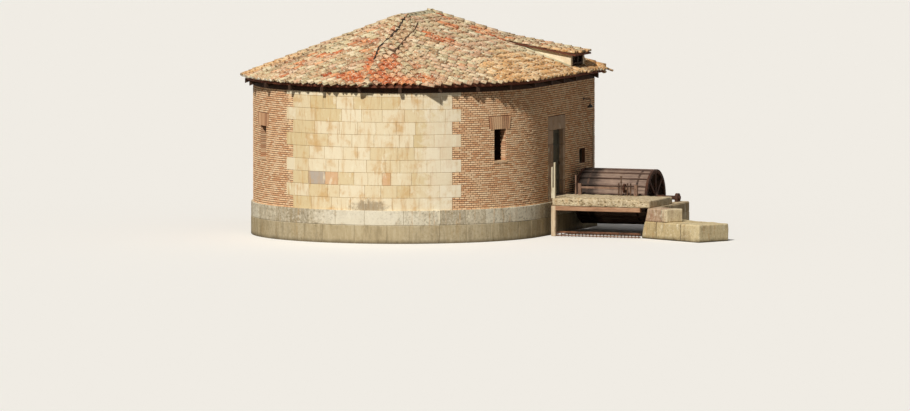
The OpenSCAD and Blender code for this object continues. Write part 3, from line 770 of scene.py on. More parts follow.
@dataclass
class Courses:
    """Bricks or stones laid in courses on a wall face, standing a little proud of their joints."""

    name: str
    face: Face
    rows: list[Span]  # low and high level of each course
    reach: Reach  # start and end of a course, by its number
    lengths: Span  # shortest and longest block
    joint: float = 0.014
    proud: float = 0.008  # height over the joints
    jitter: float = 0.002  # of that height
    edge: float = 0.004  # width of the worn edge
    holes: tuple[Hole, ...] = ()
    bond: bool = True  # every second course moved by half a block
    cut_every: float = 0.0  # spacing of the cuts for a round face
    tones: Span = (0.1, 0.9)  # darkest and lightest
    special: tuple[tuple[int, float, float], ...] = ()  # course, place and tone of single blocks
    seed: int = 1
    bed: float = 0.03  # depth in the wall
    fixed: dict[int, tuple[float, ...]] = field(default_factory=dict)  # joints given for a course

    def spans(self, row: int) -> list[Span]:
        """Find the free spans of a course.

        Args:
            row: Number of the course.

        Returns:
            Start and end of each span.
        """
        spans = [self.reach(row)]
        for hole in self.holes:
            spans = hole.cut(spans, sum(self.rows[row]) / 2)
        return spans

    def blocks(self) -> Iterator[tuple[int, float, float]]:
        """Yield the course, start and end of each block."""
        draw = random.Random(self.seed)
        shortest, longest = self.lengths
        for row in range(len(self.rows)):
            shift = longest * (0.5 * (row % 2) if self.bond else draw.random())
            if row in self.fixed:
                joints = self.fixed[row]
                yield from ((row, start, end) for start, end in zip(joints, joints[1:]))
                continue
            for start, end in self.spans(row):
                at = start - shift if self.bond else start
                while at < end - 0.02:
                    after = at + (longest if self.bond else draw.uniform(shortest, longest))
                    if end - after < shortest * 0.55:
                        after = end
                    if min(after, end) - max(at, start) > shortest * 0.3:
                        yield row, max(at, start), min(after, end)
                    at = after

    def build(self, finish: Finish, slot: str) -> None:
        """Lay the blocks, wear their edges and bend them to the wall.

        Args:
            finish: Finish of the blocks.
            slot: Name of a material slot, passed on to the piece.
        """
        shape = Shape()
        draw = random.Random(self.seed + 100)
        fronts: set[bmesh.types.BMEdge] = set()
        half = self.joint / 2
        for row, start, end in self.blocks():
            low, high = self.rows[row]
            tone = draw.uniform(*self.tones)
            for course, at, own in self.special:
                if course == row and start <= at < end:
                    tone = own
            out = self.proud + draw.uniform(-self.jitter, self.jitter)
            if high - low < 2.5 * self.joint:
                continue
            verts = shape.block((start + half, -self.bed, low + half), (end - half, out, high - half), tone)
            front = [v for v in verts if v.co.y > out - 1e-4]
            fronts |= {e for v in front for e in v.link_edges if e.other_vert(v) in front}
        shape.chamfer(fronts, self.edge)
        if self.cut_every:
            reach = [self.reach(row) for row in range(len(self.rows))]
            shape.slice_at(Axis.X, min(a for a, b in reach), max(b for a, b in reach), self.cut_every)
        self.face.bend(shape)
        shape.piece(self.name, finish, slot)


@dataclass(frozen=True)
class RoofForm:
    """Top surface of the roof: half a cone over the nose, two side slopes and a rear slope."""

    ridge_z: float
    eave_z: float
    eave_r: float  # of the side eaves, and radius of the nose's
    eave_l: float  # rear eave, along Y
    ridge_l: float  # rear end of the ridge
    SLAB = 0.17  # height of a packed slope's edge

    @classmethod
    def of_frame(cls) -> "RoofForm":
        """Read the roof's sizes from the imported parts."""
        low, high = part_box("roof_nose")
        rear_low, rear_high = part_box("roof_rear")
        return cls(high.z, low.z + cls.SLAB, -low.y, rear_high.y, rear_low.y)

    @property
    def side_slope(self) -> float:
        """Fall of the nose and of the side slopes."""
        return (self.ridge_z - self.eave_z) / self.eave_r

    @property
    def rear_slope(self) -> float:
        """Fall of the rear slope."""
        return (self.ridge_z - self.eave_z) / (self.eave_l - self.ridge_l)

    def top(self, x: float, y: float) -> float:
        """Return the height of the roof's top over a point of the plan."""
        if y <= 0:
            return self.ridge_z - self.side_slope * math.hypot(x, y)
        return min(self.ridge_z - self.side_slope * abs(x), self.behind(y))

    def behind(self, y: float) -> float:
        """Return the height of the rear slope's plane at a place along the mill."""
        return self.eave_z + self.rear_slope * (self.eave_l - y)


@dataclass(frozen=True)
class TileShape:
    """One curved tile that lies along Y, with its wide end at the origin."""

    half: float = 0.088  # of the width at the wide end
    rise: float = 0.07
    length: float = 0.42
    taper: float = 0.8  # width at the narrow end
    thick: float = 0.013
    lift: float = 0.02  # of the wide end
    steps: int = 7  # faces across
    hollow_up: bool = False  # lies on its back

    def mesh(self, name: str) -> bpy.types.Mesh:
        """Make the tile's mesh.

        Args:
            name: Name of the mesh.

        Returns:
            A mesh with one value for each attribute of the roof finish.
        """
        bm = bmesh.new()
        start = bm.verts.new((1.0, 0.0, 0.0))
        bmesh.ops.spin(bm, geom=[start], cent=(0, 0, 0), axis=(0, -1, 0), angle=math.pi, steps=self.steps)
        bmesh.ops.scale(bm, vec=(self.half, 1.0, self.rise), verts=bm.verts[:])
        grown = bmesh.ops.extrude_edge_only(bm, edges=bm.edges[:])["geom"]
        far = [v for v in grown if isinstance(v, bmesh.types.BMVert)]
        bmesh.ops.scale(bm, vec=(self.taper, 1.0, self.taper), verts=far)
        bmesh.ops.translate(bm, vec=(0.0, self.length, 0.0), verts=far)
        bmesh.ops.recalc_face_normals(bm, faces=bm.faces[:])
        bmesh.ops.solidify(bm, geom=bm.faces[:], thickness=self.thick)
        if self.hollow_up:
            bmesh.ops.scale(bm, vec=(1.0, 1.0, -1.0), verts=bm.verts[:])
        for vert in bm.verts:
            vert.co.z += self.lift * (1.0 - vert.co.y / self.length)
        return self.layered(bm, name)

    def plug(self, name: str) -> bpy.types.Mesh:
        """Make the lump of lime that closes the tile's mouth.

        Args:
            name: Name of the mesh.

        Returns:
            The lump's mesh.
        """
        bm = bmesh.new()
        turn = Matrix.Rotation(math.pi / 2, 4, "X")
        bmesh.ops.create_circle(bm, cap_ends=True, segments=12, radius=1.0, matrix=turn)
        everything = bm.verts[:] + bm.edges[:] + bm.faces[:]
        bmesh.ops.bisect_plane(bm, geom=everything, plane_co=(0, 0, 0), plane_no=(0, 0, 1), clear_inner=True)
        bmesh.ops.scale(bm, vec=(self.half - self.thick, 1.0, self.rise - self.thick), verts=bm.verts[:])
        grown = bmesh.ops.extrude_face_region(bm, geom=bm.faces[:])["geom"]
        back = [v for v in grown if isinstance(v, bmesh.types.BMVert)]
        bmesh.ops.translate(bm, vec=(0.0, 0.06, 0.0), verts=back)
        bmesh.ops.translate(bm, vec=(0.0, 0.012, self.lift), verts=bm.verts[:])
        return self.layered(bm, name)

    @staticmethod
    def layered(bm: bmesh.types.BMesh, name: str) -> bpy.types.Mesh:
        """Finish the mesh of a tile or a plug.

        Args:
            bm: The bmesh.
            name: Name of the mesh.

        Returns:
            A mesh with a value for each attribute of the roof finish.
        """
        bmesh.ops.recalc_face_normals(bm, faces=bm.faces[:])
        mesh = as_mesh(bm, name)
        for layer in Roof.LAYERS:
            mesh.attributes.new(layer, "FLOAT", "FACE")
        return mesh


@dataclass(frozen=True)
class Spot:
    """A patch of the roof with its own colour, placed in the plan."""

    x: float  # place in the plan
    y: float
    wide: float  # half widths
    tall: float
    strength: float

    def share(self, x: float, y: float) -> float:
        """Return the patch's share at a point of the plan."""
        far = ((x - self.x) / self.wide) ** 2 + ((y - self.y) / self.tall) ** 2
        return self.strength * max(0.0, 1.0 - far / 2)


@dataclass
class Roof:
    """Boards, tiles, hips and ridge of the main roof and of the dormer."""

    form: RoofForm
    mouth: float = 0.07  # set-back of the lowest pans
    pitch: float = 0.21  # between the columns
    gauge: float = 0.28985  # of the courses, in the plan
    turn_left: float = -41.0  # columns left of the hip, degrees from -Y
    turn_mid: float = 49.0  # columns right of it
    hip: float = 8.4  # angle on the nose
    seam: float = 31.0  # angle where the columns turn to +X
    boards_down: float = 0.105  # under the top
    overhang: float = 0.11  # of the tiles over the boards
    base_down: float = 0.078  # covers under the top
    dormer_y: Span = (2.75, 4.05)
    cheeks_y: Span = (2.85, 3.95)
    dormer_x: Span = (2.03, 4.13)  # head and front
    dormer_foot: float = 4.30  # its eave
    dormer_fall: float = 0.164
    dormer_boards_down: float = 0.075
    warm: tuple[Spot, ...] = (  # red tiles
        Spot(0.0, -4.1, 0.5, 0.3, 1.15), Spot(0.25, -3.3, 0.16, 0.8, 0.8),
        Spot(1.25, -3.95, 0.75, 0.3, 1.15), Spot(0.95, -3.1, 0.35, 0.45, 0.9),
        Spot(2.1, -3.65, 0.7, 0.3, 0.7), Spot(-0.5, -1.8, 0.4, 0.25, 0.8),
        Spot(-1.2, -2.6, 0.5, 0.3, 0.5), Spot(-2.1, -2.9, 0.7, 0.4, 0.45),
        Spot(-1.2, -4.0, 1.0, 0.3, 0.2), Spot(1.6, -0.7, 0.5, 0.4, 0.5),
        Spot(1.0, 1.5, 0.3, 0.3, 0.9), Spot(1.6, 2.7, 0.35, 0.5, 1.0),
    )
    moss: tuple[Spot, ...] = (  # golden moss
        Spot(3.9, -0.8, 0.9, 1.3, 0.9), Spot(4.3, 1.4, 0.9, 1.8, 1.1),
        Spot(3.4, 0.9, 0.7, 1.3, 0.6), Spot(-3.9, -1.1, 0.6, 1.1, 1.0),
        Spot(-3.0, -1.6, 0.6, 0.6, 0.6), Spot(4.4, 4.4, 0.7, 0.9, 0.8),
    )
    # beside the nose's hip, where a near-black strip stands as painted shadow in the open joint
    open_joint: tuple[Span, ...] = ((0.36, -3.0), (0.19, -2.17), (0.27, -1.47), (0.28, -0.95), (0.17, -0.06))
    mended: tuple[Span, ...] = (  # seam round the mended part
        (0.19, -2.17), (0.72, -2.29), (0.73, -2.03), (0.71, -1.41), (0.73, -0.79), (0.57, -0.08),
    )
    LAYERS = ("tone", "warm", "moss", "hue")

    def __post_init__(self) -> None:
        """Make the tile shapes and the random draws."""
        self.cover = TileShape(lift=0.028).mesh("tile_cover")
        self.pan = TileShape(half=0.08, rise=0.056, taper=0.85, lift=0.012, hollow_up=True).mesh("tile_pan")
        self.cap = TileShape(half=0.125, rise=0.1, length=0.44, taper=0.85, lift=0.02, steps=8).mesh("tile_cap")
        self.crest = TileShape(half=0.13, rise=0.085, length=0.5, taper=0.93, lift=0.008, steps=8).mesh("tile_crest")
        self.plug = TileShape(lift=0.028).plug("tile_plug")
        self.plugs = Shape()
        self.draw = random.Random(7)

    def frame_at(self, top: Top, x: float, y: float, up: Vector) -> Matrix:
        """Return the frame of a tile on the roof.

        Args:
            top: Height of the roof over the plan.
            x: Place of the tile's wide end.
            y: Place of the tile's wide end.
            up: Uphill direction in the plan.

        Returns:
            Matrix whose Y runs uphill on the surface and whose Z looks out of it.
        """
        half_tile, step = 0.2, 0.12
        mid = Vector((x, y)) + up * half_tile

        def slope(way: Vector) -> Vector:
            """Return the step on the roof's surface in a direction of the plan."""
            return Vector((way.x * 2 * step, way.y * 2 * step, top(*(mid + way * step)) - top(*(mid - way * step))))

        along = slope(up).normalized()
        out = slope(Vector((up.y, -up.x))).cross(along).normalized()
        matrix = Matrix((along.cross(out), along, out)).transposed().to_4x4()
        middle = Vector((mid.x, mid.y, top(mid.x, mid.y)))
        return Matrix.Translation(middle - along * half_tile / max(0.2, math.hypot(along.x, along.y))) @ matrix

    def lay(self, shape: Shape, tile: bpy.types.Mesh, matrix: Matrix, down: float, loose: float = 0.02) -> None:
        """Lay one tile with its own tone.

        Args:
            shape: Mesh that takes the tile.
            tile: The tile's mesh.
            matrix: Frame of the tile on the roof.
            down: How far its base lies under the roof's top.
            loose: Furthest slip along the slope.
        """
        draw, aside, yaw, roll = self.draw, 0.009, 0.045, 0.07
        jitter = Matrix.Translation((draw.uniform(-aside, aside), draw.uniform(-loose, loose), -down))
        turn = Matrix.Rotation(draw.uniform(-yaw, yaw), 4, "Z") @ Matrix.Rotation(draw.uniform(-roll, roll), 4, "Y")
        matrix = matrix @ jitter @ turn
        at = matrix.translation
        values = {
            "tone": min(1.0, max(0.0, draw.gauss(0.52, 0.27))),
            "warm": self.share(self.warm, at) + max(0.0, draw.gauss(0.0, 0.28)) - 0.08,
            "moss": self.share(self.moss, at) + draw.uniform(-0.05, 0.15),
            "hue": draw.random(),
        }
        for layer, value in values.items():
            tile.attributes[layer].data.foreach_set("value", [value] * len(tile.polygons))
        tile.transform(matrix)
        shape.bm.from_mesh(tile)
        tile.transform(matrix.inverted())

    @staticmethod
    def share(spots: Iterable[Spot], at: Vector) -> float:
        """Return the joint share of some patches at a point, with ragged edges."""
        ragged = noise.noise(Vector((at.x * 0.9, at.y * 0.9, 4.0))) * 0.5
        return max([spot.share(at.x, at.y) for spot in spots]) * (1.0 + ragged) + ragged * 0.25

    @staticmethod
    def fitted(wanted: Vector, up: Vector, inside: Inside) -> Vector | None:
        """Find the place nearest to a wanted one where a whole tile lies inside its slope.

        Args:
            wanted: The wanted place.
            up: Uphill direction in the plan.
            inside: Says whether a point belongs to the slope.

        Returns:
            The place, or None.
        """
        for slide in (0.0, -0.06, 0.06, -0.12, 0.12, -0.18, 0.18, -0.24, 0.24):
            place = wanted + up * slide
            if inside(*(place + up * 0.03)) and inside(*(place + up * 0.36)):
                return place
        return None

    def column(self, shape: Shape, foot: Vector, up: Vector, inside: Inside, top: Top, down: float) -> None:
        """Lay one column of covers and the pans beside it.

        Args:
            shape: Mesh that takes the tiles.
            foot: Lower end of the column in the plan.
            up: Uphill direction in the plan.
            inside: Says whether a point of the plan belongs to this slope.
            top: Height of the roof over the plan.
            down: How far the base of the covers lies under the top.
        """
        side = Vector((up.y, -up.x)) * (self.pitch / 2)
        most_rows, pan_sunk = 17, 0.036
        for tile, start, sunk in ((self.pan, foot + side - up * 0.02, pan_sunk), (self.cover, foot, down)):
            slip = self.draw.uniform(0.0, 0.6 * self.gauge)
            for i in range(most_rows):
                mouth = self.mouth if tile is self.pan else 0.0
                wanted = start + up * (i * self.gauge - slip if i else mouth)
                at = self.fitted(wanted, up, inside)
                if at is None:
                    continue
                place = self.frame_at(top, at.x, at.y, up)
                self.lay(shape, tile, place, sunk if at == wanted else sunk - 0.012, 0.02 if i else 0.045)
                limed = 0.85 if at.x < -1.4 and at.y < 0 else 0.15
                if i == 0 and tile is self.cover and self.draw.random() < limed:
                    self.lay(self.plugs, self.plug, place, sunk)

    def sector(self, turn: float, start: float, end: float) -> Shape:
        """Lay the parallel columns of one part of the nose.

        Args:
            turn: Direction of the columns, in degrees from -Y.
            start: Angle where the part begins.
            end: Angle where it ends.

        Returns:
            The tiles as one mesh.
        """
        shape = Shape()
        down_hill = Vector((math.sin(math.radians(turn)), -math.cos(math.radians(turn))))
        across = Vector((-down_hill.y, down_hill.x))
        slack = 0.12

        def inside(x: float, y: float) -> bool:
            """Say whether a point lies between the two edges of the part."""
            far = math.hypot(x, y)
            angle = math.atan2(x, -y)
            left = far * math.sin(angle - math.radians(start))
            right = far * math.sin(math.radians(end) - angle)
            return left > -slack and right > -slack and far > 0.1 and y < slack

        eave, form = self.form.eave_r, self.form
        count = int(eave / self.pitch) + 1
        for k in range(-count, count + 1):
            aside = (k + 0.5) * self.pitch
            if abs(aside) < eave - 0.1:
                foot = across * aside + down_hill * math.sqrt(eave**2 - aside**2)
                self.column(shape, foot, -down_hill, inside, form.top, self.base_down)
        return shape

    def flank(self, side: int) -> Shape:
        """Lay the columns of one side slope.

        Args:
            side: 1 for the slope over the door, -1 for the other one.

        Returns:
            The tiles as one mesh.
        """
        shape, form = Shape(), self.form

        def inside(x: float, y: float) -> bool:
            """Say whether a point lies on the slope, clear of the hip and the dormer."""
            if form.behind(y) < form.ridge_z - form.side_slope * abs(x) - 0.03:
                return False
            if side > 0 and self.cheeks_y[0] - 0.03 < y < self.cheeks_y[1] + 0.03:
                return not self.dormer_x[0] + 0.06 < abs(x) < self.dormer_x[1] - 0.02
            return side * x > 0.02 and y > -0.05

        for k in range(int(form.eave_l / self.pitch) + 1):
            foot = Vector((side * form.eave_r, (k + 0.5) * self.pitch))
            self.column(shape, foot, Vector((-side, 0.0)), inside, form.top, self.base_down)
        return shape

    def rear(self) -> Shape:
        """Lay the columns of the rear slope and return them as one mesh."""
        shape, form = Shape(), self.form

        def inside(x: float, y: float) -> bool:
            """Say whether a point lies between the two rear hips, clear of the dormer's head."""
            if self.dormer_x[0] - 0.05 < x < self.dormer_x[1] and y < self.cheeks_y[1] + 0.03:
                return False
            return form.behind(y) < form.ridge_z - form.side_slope * abs(x) + 0.03

        count = int(form.eave_r / self.pitch)
        for k in range(-count, count + 1):
            foot = Vector((k * self.pitch, form.eave_l))
            self.column(shape, foot, Vector((0.0, -1.0)), inside, form.top, self.base_down)
        return shape

    def dormer_top(self, x: float) -> float:
        """Return the height of the dormer roof at a distance from the ridge line."""
        bend = self.dormer_x[0]
        return self.form.ridge_z - self.form.side_slope * bend - self.dormer_fall * (x - bend)

    def dormer(self) -> Shape:
        """Lay the columns of the dormer roof and return them as one mesh."""
        shape = Shape()

        def inside(x: float, y: float) -> bool:
            """Say whether the dormer roof lies above the main roof here."""
            return self.dormer_top(x) > self.form.top(x, y) - 0.01 and x > 1.45

        low, high = self.dormer_y
        verge = 0.09
        count = int((high - low) / self.pitch)
        for k in range(count + 1):
            foot = Vector((self.dormer_foot, low + verge + (high - low - 2 * verge) * k / count))
            self.column(shape, foot, Vector((-1.0, 0.0)), inside, lambda x, y: self.dormer_top(x), 0.072)
        return shape

    @staticmethod
    def along_line(start: Vector, end: Vector) -> Matrix:
        """Find the frame of a line of the roof.

        Args:
            start: Start of the line.
            end: Its end.

        Returns:
            Matrix whose Y runs along the line and whose Z looks out.
        """
        along = (end - start).normalized()
        across = along.cross(Vector((0, 0, 1))).normalized()
        return Matrix((across, along, across.cross(along))).transposed().to_4x4()

    def caps(self, shape: Shape, start: Vector, end: Vector, down: float, tile: bpy.types.Mesh) -> None:
        """Lay a row of large caps along a hip or the ridge.

        Args:
            shape: Mesh that takes the caps.
            start: Lower end of the row.
            end: Upper end of the row.
            down: How far their base lies under the line.
            tile: Mesh of one cap.
        """
        matrix = self.along_line(start, end)
        along, length, spacing = (end - start).normalized(), (end - start).length, 0.36
        count = max(1, round(length / spacing))
        for i in range(count):
            self.lay(shape, tile, Matrix.Translation(start + along * (length * i / count)) @ matrix, down)

    def hip_row(self, shape: Shape, start: Vector, end: Vector) -> None:
        """Lay one row of plain covers along the hip of the nose.

        Args:
            shape: Mesh that takes the tiles.
            start: Lower end of the hip.
            end: Its upper end.
        """
        up = Vector((end.x - start.x, end.y - start.y)).normalized()
        for i in range(int(self.form.eave_r / self.gauge)):
            at = Vector((start.x, start.y)) + up * (i * self.gauge)
            self.lay(shape, self.cover, self.frame_at(self.form.top, at.x, at.y, up), self.base_down - 0.028)

    def bed(self, shape: Shape, start: Vector, end: Vector, half: float, depth: float) -> None:
        """Lay a bed of mortar along a hip or the ridge.

        Args:
            shape: Mesh that takes the bed.
            start: One end of the line.
            end: The other end.
            half: Half of the bed's width.
            depth: How far its top lies under the line.
        """
        made = shape.block((-half, 0.0, -0.12), (half, (end - start).length, -depth), 0.6)
        matrix = Matrix.Translation(start) @ self.along_line(start, end)
        bmesh.ops.transform(shape.bm, matrix=matrix, verts=made)

    def boards(self, name: str, node: str, finish: Finish, down: float, top: Top) -> None:
        """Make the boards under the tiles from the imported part, with a lower top.

        Args:
            name: Name of the piece.
            node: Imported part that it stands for.
            finish: Finish of the boards.
            down: How far the top is lowered.
            top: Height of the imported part's top over the plan.
        """
        shape = Shape.of_part(node)
        for vert in shape.bm.verts:
            if abs(vert.co.z - top(vert.co.x, vert.co.y)) < 0.02:
                vert.co.z -= down
            self.draw_in(vert, node)
        slot = "dormer_tile" if node == "dormer_roof" else "roof_tile"
        shape.piece(name, finish, slot, stands_for=(node,))

    def draw_in(self, vert: bmesh.types.BMVert, node: str) -> None:
        """Draw a vertex of the boards back from the eave, so that the tiles hang over them.

        Args:
            vert: Vertex of the boards.
            node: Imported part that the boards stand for.
        """
        back, form, at_edge = self.overhang, self.form, 0.01
        if node == "roof_nose" and math.hypot(vert.co.x, vert.co.y) > form.eave_r - at_edge:
            share = 1.0 - back / form.eave_r
            vert.co.x, vert.co.y = vert.co.x * share, vert.co.y * share
            vert.co.z += back * form.side_slope
        elif node in ("roof_right", "roof_left", "roof_rear"):
            if abs(vert.co.x) > form.eave_r - at_edge:
                vert.co.x -= math.copysign(back, vert.co.x)
                vert.co.z += back * form.side_slope
            if vert.co.y > form.eave_l - at_edge:
                vert.co.y -= back
                vert.co.z += back * form.rear_slope * (node == "roof_rear")

    def build(self) -> None:
        """Build the boards, the tiles of each slope, the hips and the ridge."""
        under = Timber("roof_boards", "3A2219", "6A3D2C", "87533C", Axis.Y)
        for side in ("nose", "right", "left", "rear"):
            self.boards(f"boards_{side}", f"roof_{side}", under, self.boards_down, self.form.top)
        self.boards("boards_dormer", "dormer_roof", under, self.dormer_boards_down, lambda x, y: self.dormer_top(x))
        slopes = {
            "nose_left": self.sector(self.turn_left, -90.0, self.hip),
            "nose_mid": self.sector(self.turn_mid, self.hip, self.seam),
            "nose_right": self.sector(90.0, self.seam, 90.0),
            "flank_right": self.flank(1),
            "flank_left": self.flank(-1),
            "rear": self.rear(),
            "dormer": self.dormer(),
        }
        for name, tiles in slopes.items():
            slot = "dormer_tile" if name == "dormer" else "roof_tile"
            tiles.piece(f"tiles_{name}", ClayTile("clay_tiles"), slot, smooth=True)
        self.finish_lines()
        self.open_lines()

    def finish_lines(self) -> None:
        """Lay the hips and the ridge with their beds of mortar."""
        form, hip = self.form, math.radians(self.hip)
        apex = Vector((0.0, 0.0, form.ridge_z))
        back = Vector((0.0, form.ridge_l, form.ridge_z))
        front = Vector((form.eave_r * math.sin(hip), -form.eave_r * math.cos(hip), form.eave_z))
        left = Vector((-form.eave_r, 0.0, form.eave_z))
        caps, beds, ridge = Shape(), Shape(), Shape()
        self.hip_row(caps, front, apex)
        self.caps(caps, left, apex, 0.05, self.cap)
        self.bed(beds, front, apex, 0.1, 0.045)
        self.bed(beds, left, apex, 0.13, 0.03)
        under_dormer = (0.33, 0.57)
        for side, breaks in ((-1, ()), (1, under_dormer)):
            corner = Vector((side * form.eave_r, form.eave_l, form.eave_z))
            ends = [0.02, *breaks, 1.0]
            for low, high in zip(ends[::2], ends[1::2]):
                foot, head = (corner.lerp(back, share) for share in (low, high))
                self.caps(caps, foot, head, 0.05, self.cap)
                self.bed(beds, foot, head, 0.1, 0.05)
        caps.piece("hip_caps", ClayTile("hip_clay"), "roof_tile", smooth=True)
        start = apex + Vector((0.0, 0.02, 0.0))
        self.caps(ridge, back, start, 0.068, self.crest)
        ridge.piece("ridge_caps", ClayTile("ridge_clay", 0.55), "roof_tile", smooth=True)
        self.bed(beds, start, back, 0.15, 0.032)
        foot, head = self.dormer_x[1] - 0.02, self.dormer_x[0] + 0.4
        for y in (self.cheeks_y[0] - 0.03, self.cheeks_y[1] + 0.03):
            ends = [Vector((x, y, form.top(x, y))) for x in (foot, head)]
            self.bed(beds, *ends, 0.04, 0.0)
        beds.slice_at(Axis.Y, -form.eave_r, form.eave_l, 0.25)
        beds.wear(0.02, 0.12)
        beds.piece("roof_mortar", Mortar("roof_bedding", "DAD3B2", "C0B48E"), "roof_tile", smooth=True)
        self.plugs.piece("eave_plugs", Mortar("eave_lime", "EFE6CF", "D8C8A8"), "roof_tile")

    def open_lines(self) -> None:
        """Lay a near-black strip as painted shadow in the open joint beside the nose's hip, and the seam round a
        mended part of the roof.
        """
        # the strip in the open joint is near-black as painted shadow
        for name, half, places, finish in (
            ("roof_open_joint", 0.02, self.open_joint, Mortar("painted_shadow_joint", "30261E", "46382C")),
            ("roof_seam", 0.009, self.mended, Mortar("seam_joint", "5A4434", "76604A")),
        ):
            line = Shape()
            points = [Vector((x, y, self.form.top(x, y))) for x, y in places]
            for start, end in zip(points, points[1:]):
                self.bed(line, start, end, half, -0.034)
            line.slice_at(Axis.Y, -3.0, 0.0, 0.09)
            line.slice_at(Axis.X, 0.0, 0.75, 0.09)
            line.wear(0.016, 0.07)
            line.piece(name, finish, "roof_tile", smooth=True)


@dataclass
class Walls:
    """Brick, dressed stone and plinth skins of the mill house."""

    nose_r: float = 4.2
    flank_l: float = 4.6
    plinth_r: float = 4.26
    plinth_l: float = 4.66
    plinth_h: float = 0.93
    plinth_bed: float = 0.52  # level of its bed joint
    wall_top: float = 4.27
    stone: Span = (-28.8, 45.3)  # dressed stone, in degrees
    tooth: float = 3.7  # of the stone's edge, in degrees
    course_h: float = 0.358  # of the stone
    bricks_a_course: int = 6
    brick_l: float = 0.15  # longest
    slit_half: float = 0.22
    slit_z: Span = (2.27, 3.18)  # foot and head
    slits: Span = (-47.0, 63.5)  # on the nose, in degrees
    flank_slit: float = 2.42  # place along the left flank
    arch_h: float = 0.368
    arch_half: float = 0.42  # of its width at the top
    arch_bricks: int = 10
    door: Hole = Hole(0.78, 2.18, 0.93, 3.36)
    hatch: Hole = Hole(3.34, 3.80, 1.86, 2.30)
    # of the third course, in degrees
    joints: tuple[float, ...] = (-25.1, -17.0, -9.2, -3.6, 3.0, 8.6, 14.2, 17.45, 25.5, 33.0, 41.6)
    odd_blocks: tuple[Span, ...] = ((-13.5, 0.87), (-6.3, 0.98), (16.1, 0.97))  # angle and tone

    def __post_init__(self) -> None:
        """Set up the faces that the skins are laid on."""
        self.nose = RoundFace(self.nose_r)
        self.right = FlatFace.beside(self.nose_r, 1)
        self.left = FlatFace.beside(-self.nose_r, -1)
        self.rear = FlatFace.behind(self.flank_l)

    def build(self) -> None:
        """Build every skin of the walls, and the pipe on the far corner."""
        self.build_bricks()
        self.build_stones()
        self.build_plinth()
        self.build_slits()
        self.build_pipe()

    def rows(self, step: float) -> list[Span]:
        """Return the levels of the courses of one height, up to the wall's top."""
        count = math.ceil((self.wall_top - self.plinth_h) / step - 0.05)
        levels = [min(self.plinth_h + i * step, self.wall_top) for i in range(count + 1)]
        return list(zip(levels, levels[1:]))

    def toothed(self, row: int, of_bricks: bool) -> Span:
        """Return where the dressed stone starts and ends in a course.

        Args:
            row: Number of the course.
            of_bricks: Whether the number counts brick courses.

        Returns:
            Start and end along the nose.
        """
        course = row // self.bricks_a_course if of_bricks else row
        step = self.tooth if course % 2 == 0 else 0.0
        return self.nose.at(self.stone[0] + step), self.nose.at(self.stone[1] - step)

    def slit_holes(self, middle: float) -> tuple[Hole, ...]:
        """Find the holes in the bricks for a slit and the flat arch over it.

        Args:
            middle: Place of the slit along its sheet.

        Returns:
            One hole for the slit and two for the arch.
        """
        low, high = self.slit_z
        widths = (self.slit_half, self.arch_half - 0.025, self.arch_half)
        levels = (low, high, high + self.arch_h / 2, high + self.arch_h)
        return tuple(Hole(middle - half, middle + half, *span) for half, span in zip(widths, zip(levels, levels[1:])))

    def build_bricks(self) -> None:
        """Lay the bricks of the nose, the flanks and the rear."""
        nose, half = self.nose, self.nose_r
        first, second = (self.slit_holes(nose.at(angle)) for angle in self.slits)
        walls: dict[str, tuple[Face, Reach, tuple[Hole, ...]]] = {
            "nose_left": (nose, lambda row: (nose.at(-90), self.toothed(row, True)[0]), first),
            "nose_right": (nose, lambda row: (self.toothed(row, True)[1], nose.at(90)), second),
            "flank_right": (self.right, lambda row: (0.0, self.flank_l), (self.door, self.hatch)),
            "flank_left": (self.left, lambda row: (0.0, self.flank_l), self.slit_holes(self.flank_slit)),
            "rear": (self.rear, lambda row: (-half, half), self.slit_holes(0.0)),
        }
        rows = self.rows(self.course_h / self.bricks_a_course)
        for number, (name, (face, reach, holes)) in enumerate(walls.items()):
            Courses(
                f"bricks_{name}", face, rows, reach, (0.07, self.brick_l), joint=0.018, proud=0.011, jitter=0.004,
                holes=holes, tones=(0.12, 0.88), seed=11 + number,
            ).build(Brick("thin_brick"), "brick")

    def build_stones(self) -> None:
        """Lay the dressed stone of the nose, and the mortar where a tooth of it is brick."""
        nose, rows = self.nose, self.rows(self.course_h)
        for side in (0, 1):
            ends = sorted((self.stone[side], self.stone[side] + (-self.tooth if side else self.tooth)))

            def reach(row: int, side: int = side, ends: Sequence[float] = ends) -> Span:
                """Return the part of a tooth that is brick in this course."""
                edge = self.toothed(row, False)[side]
                return (edge, nose.at(ends[1])) if side else (nose.at(ends[0]), edge)

            Courses(
                f"tooth_bedding_{side + 1}", nose, rows, reach, (0.1, 0.4), joint=0.0, proud=0.0015, jitter=0.0,
                edge=0.0005,
            ).build(Mortar("tooth_mortar", *BRICK_MORTAR), "brick")
        # a darker oval low on the stone, just over the plinth
        dark_oval = Patch(9.1, 0.95, 8.6, 0.36, "8E7B62", 0.7, 0.9)
        # painted light: the stone is painted paler towards the right, where it turns away from the sun
        painted_light = Patch(38.0, 2.6, 11.0, 2.3, "FFF6E0", 0.5)
        odd_row = 2
        Courses(
            "dressed_blocks", nose, rows, lambda row: self.toothed(row, False), (0.34, 0.86), joint=0.007, proud=0.019,
            edge=0.006, bond=False, cut_every=0.15, tones=(0.0, 0.8), seed=21,
            special=tuple((odd_row, nose.at(angle), tone) for angle, tone in self.odd_blocks),
            fixed={odd_row: tuple(nose.at(angle) for angle in self.joints)},
        ).build(DressedStone("dressed_stone", patches=(painted_light, dark_oval)), "dressed_stone")

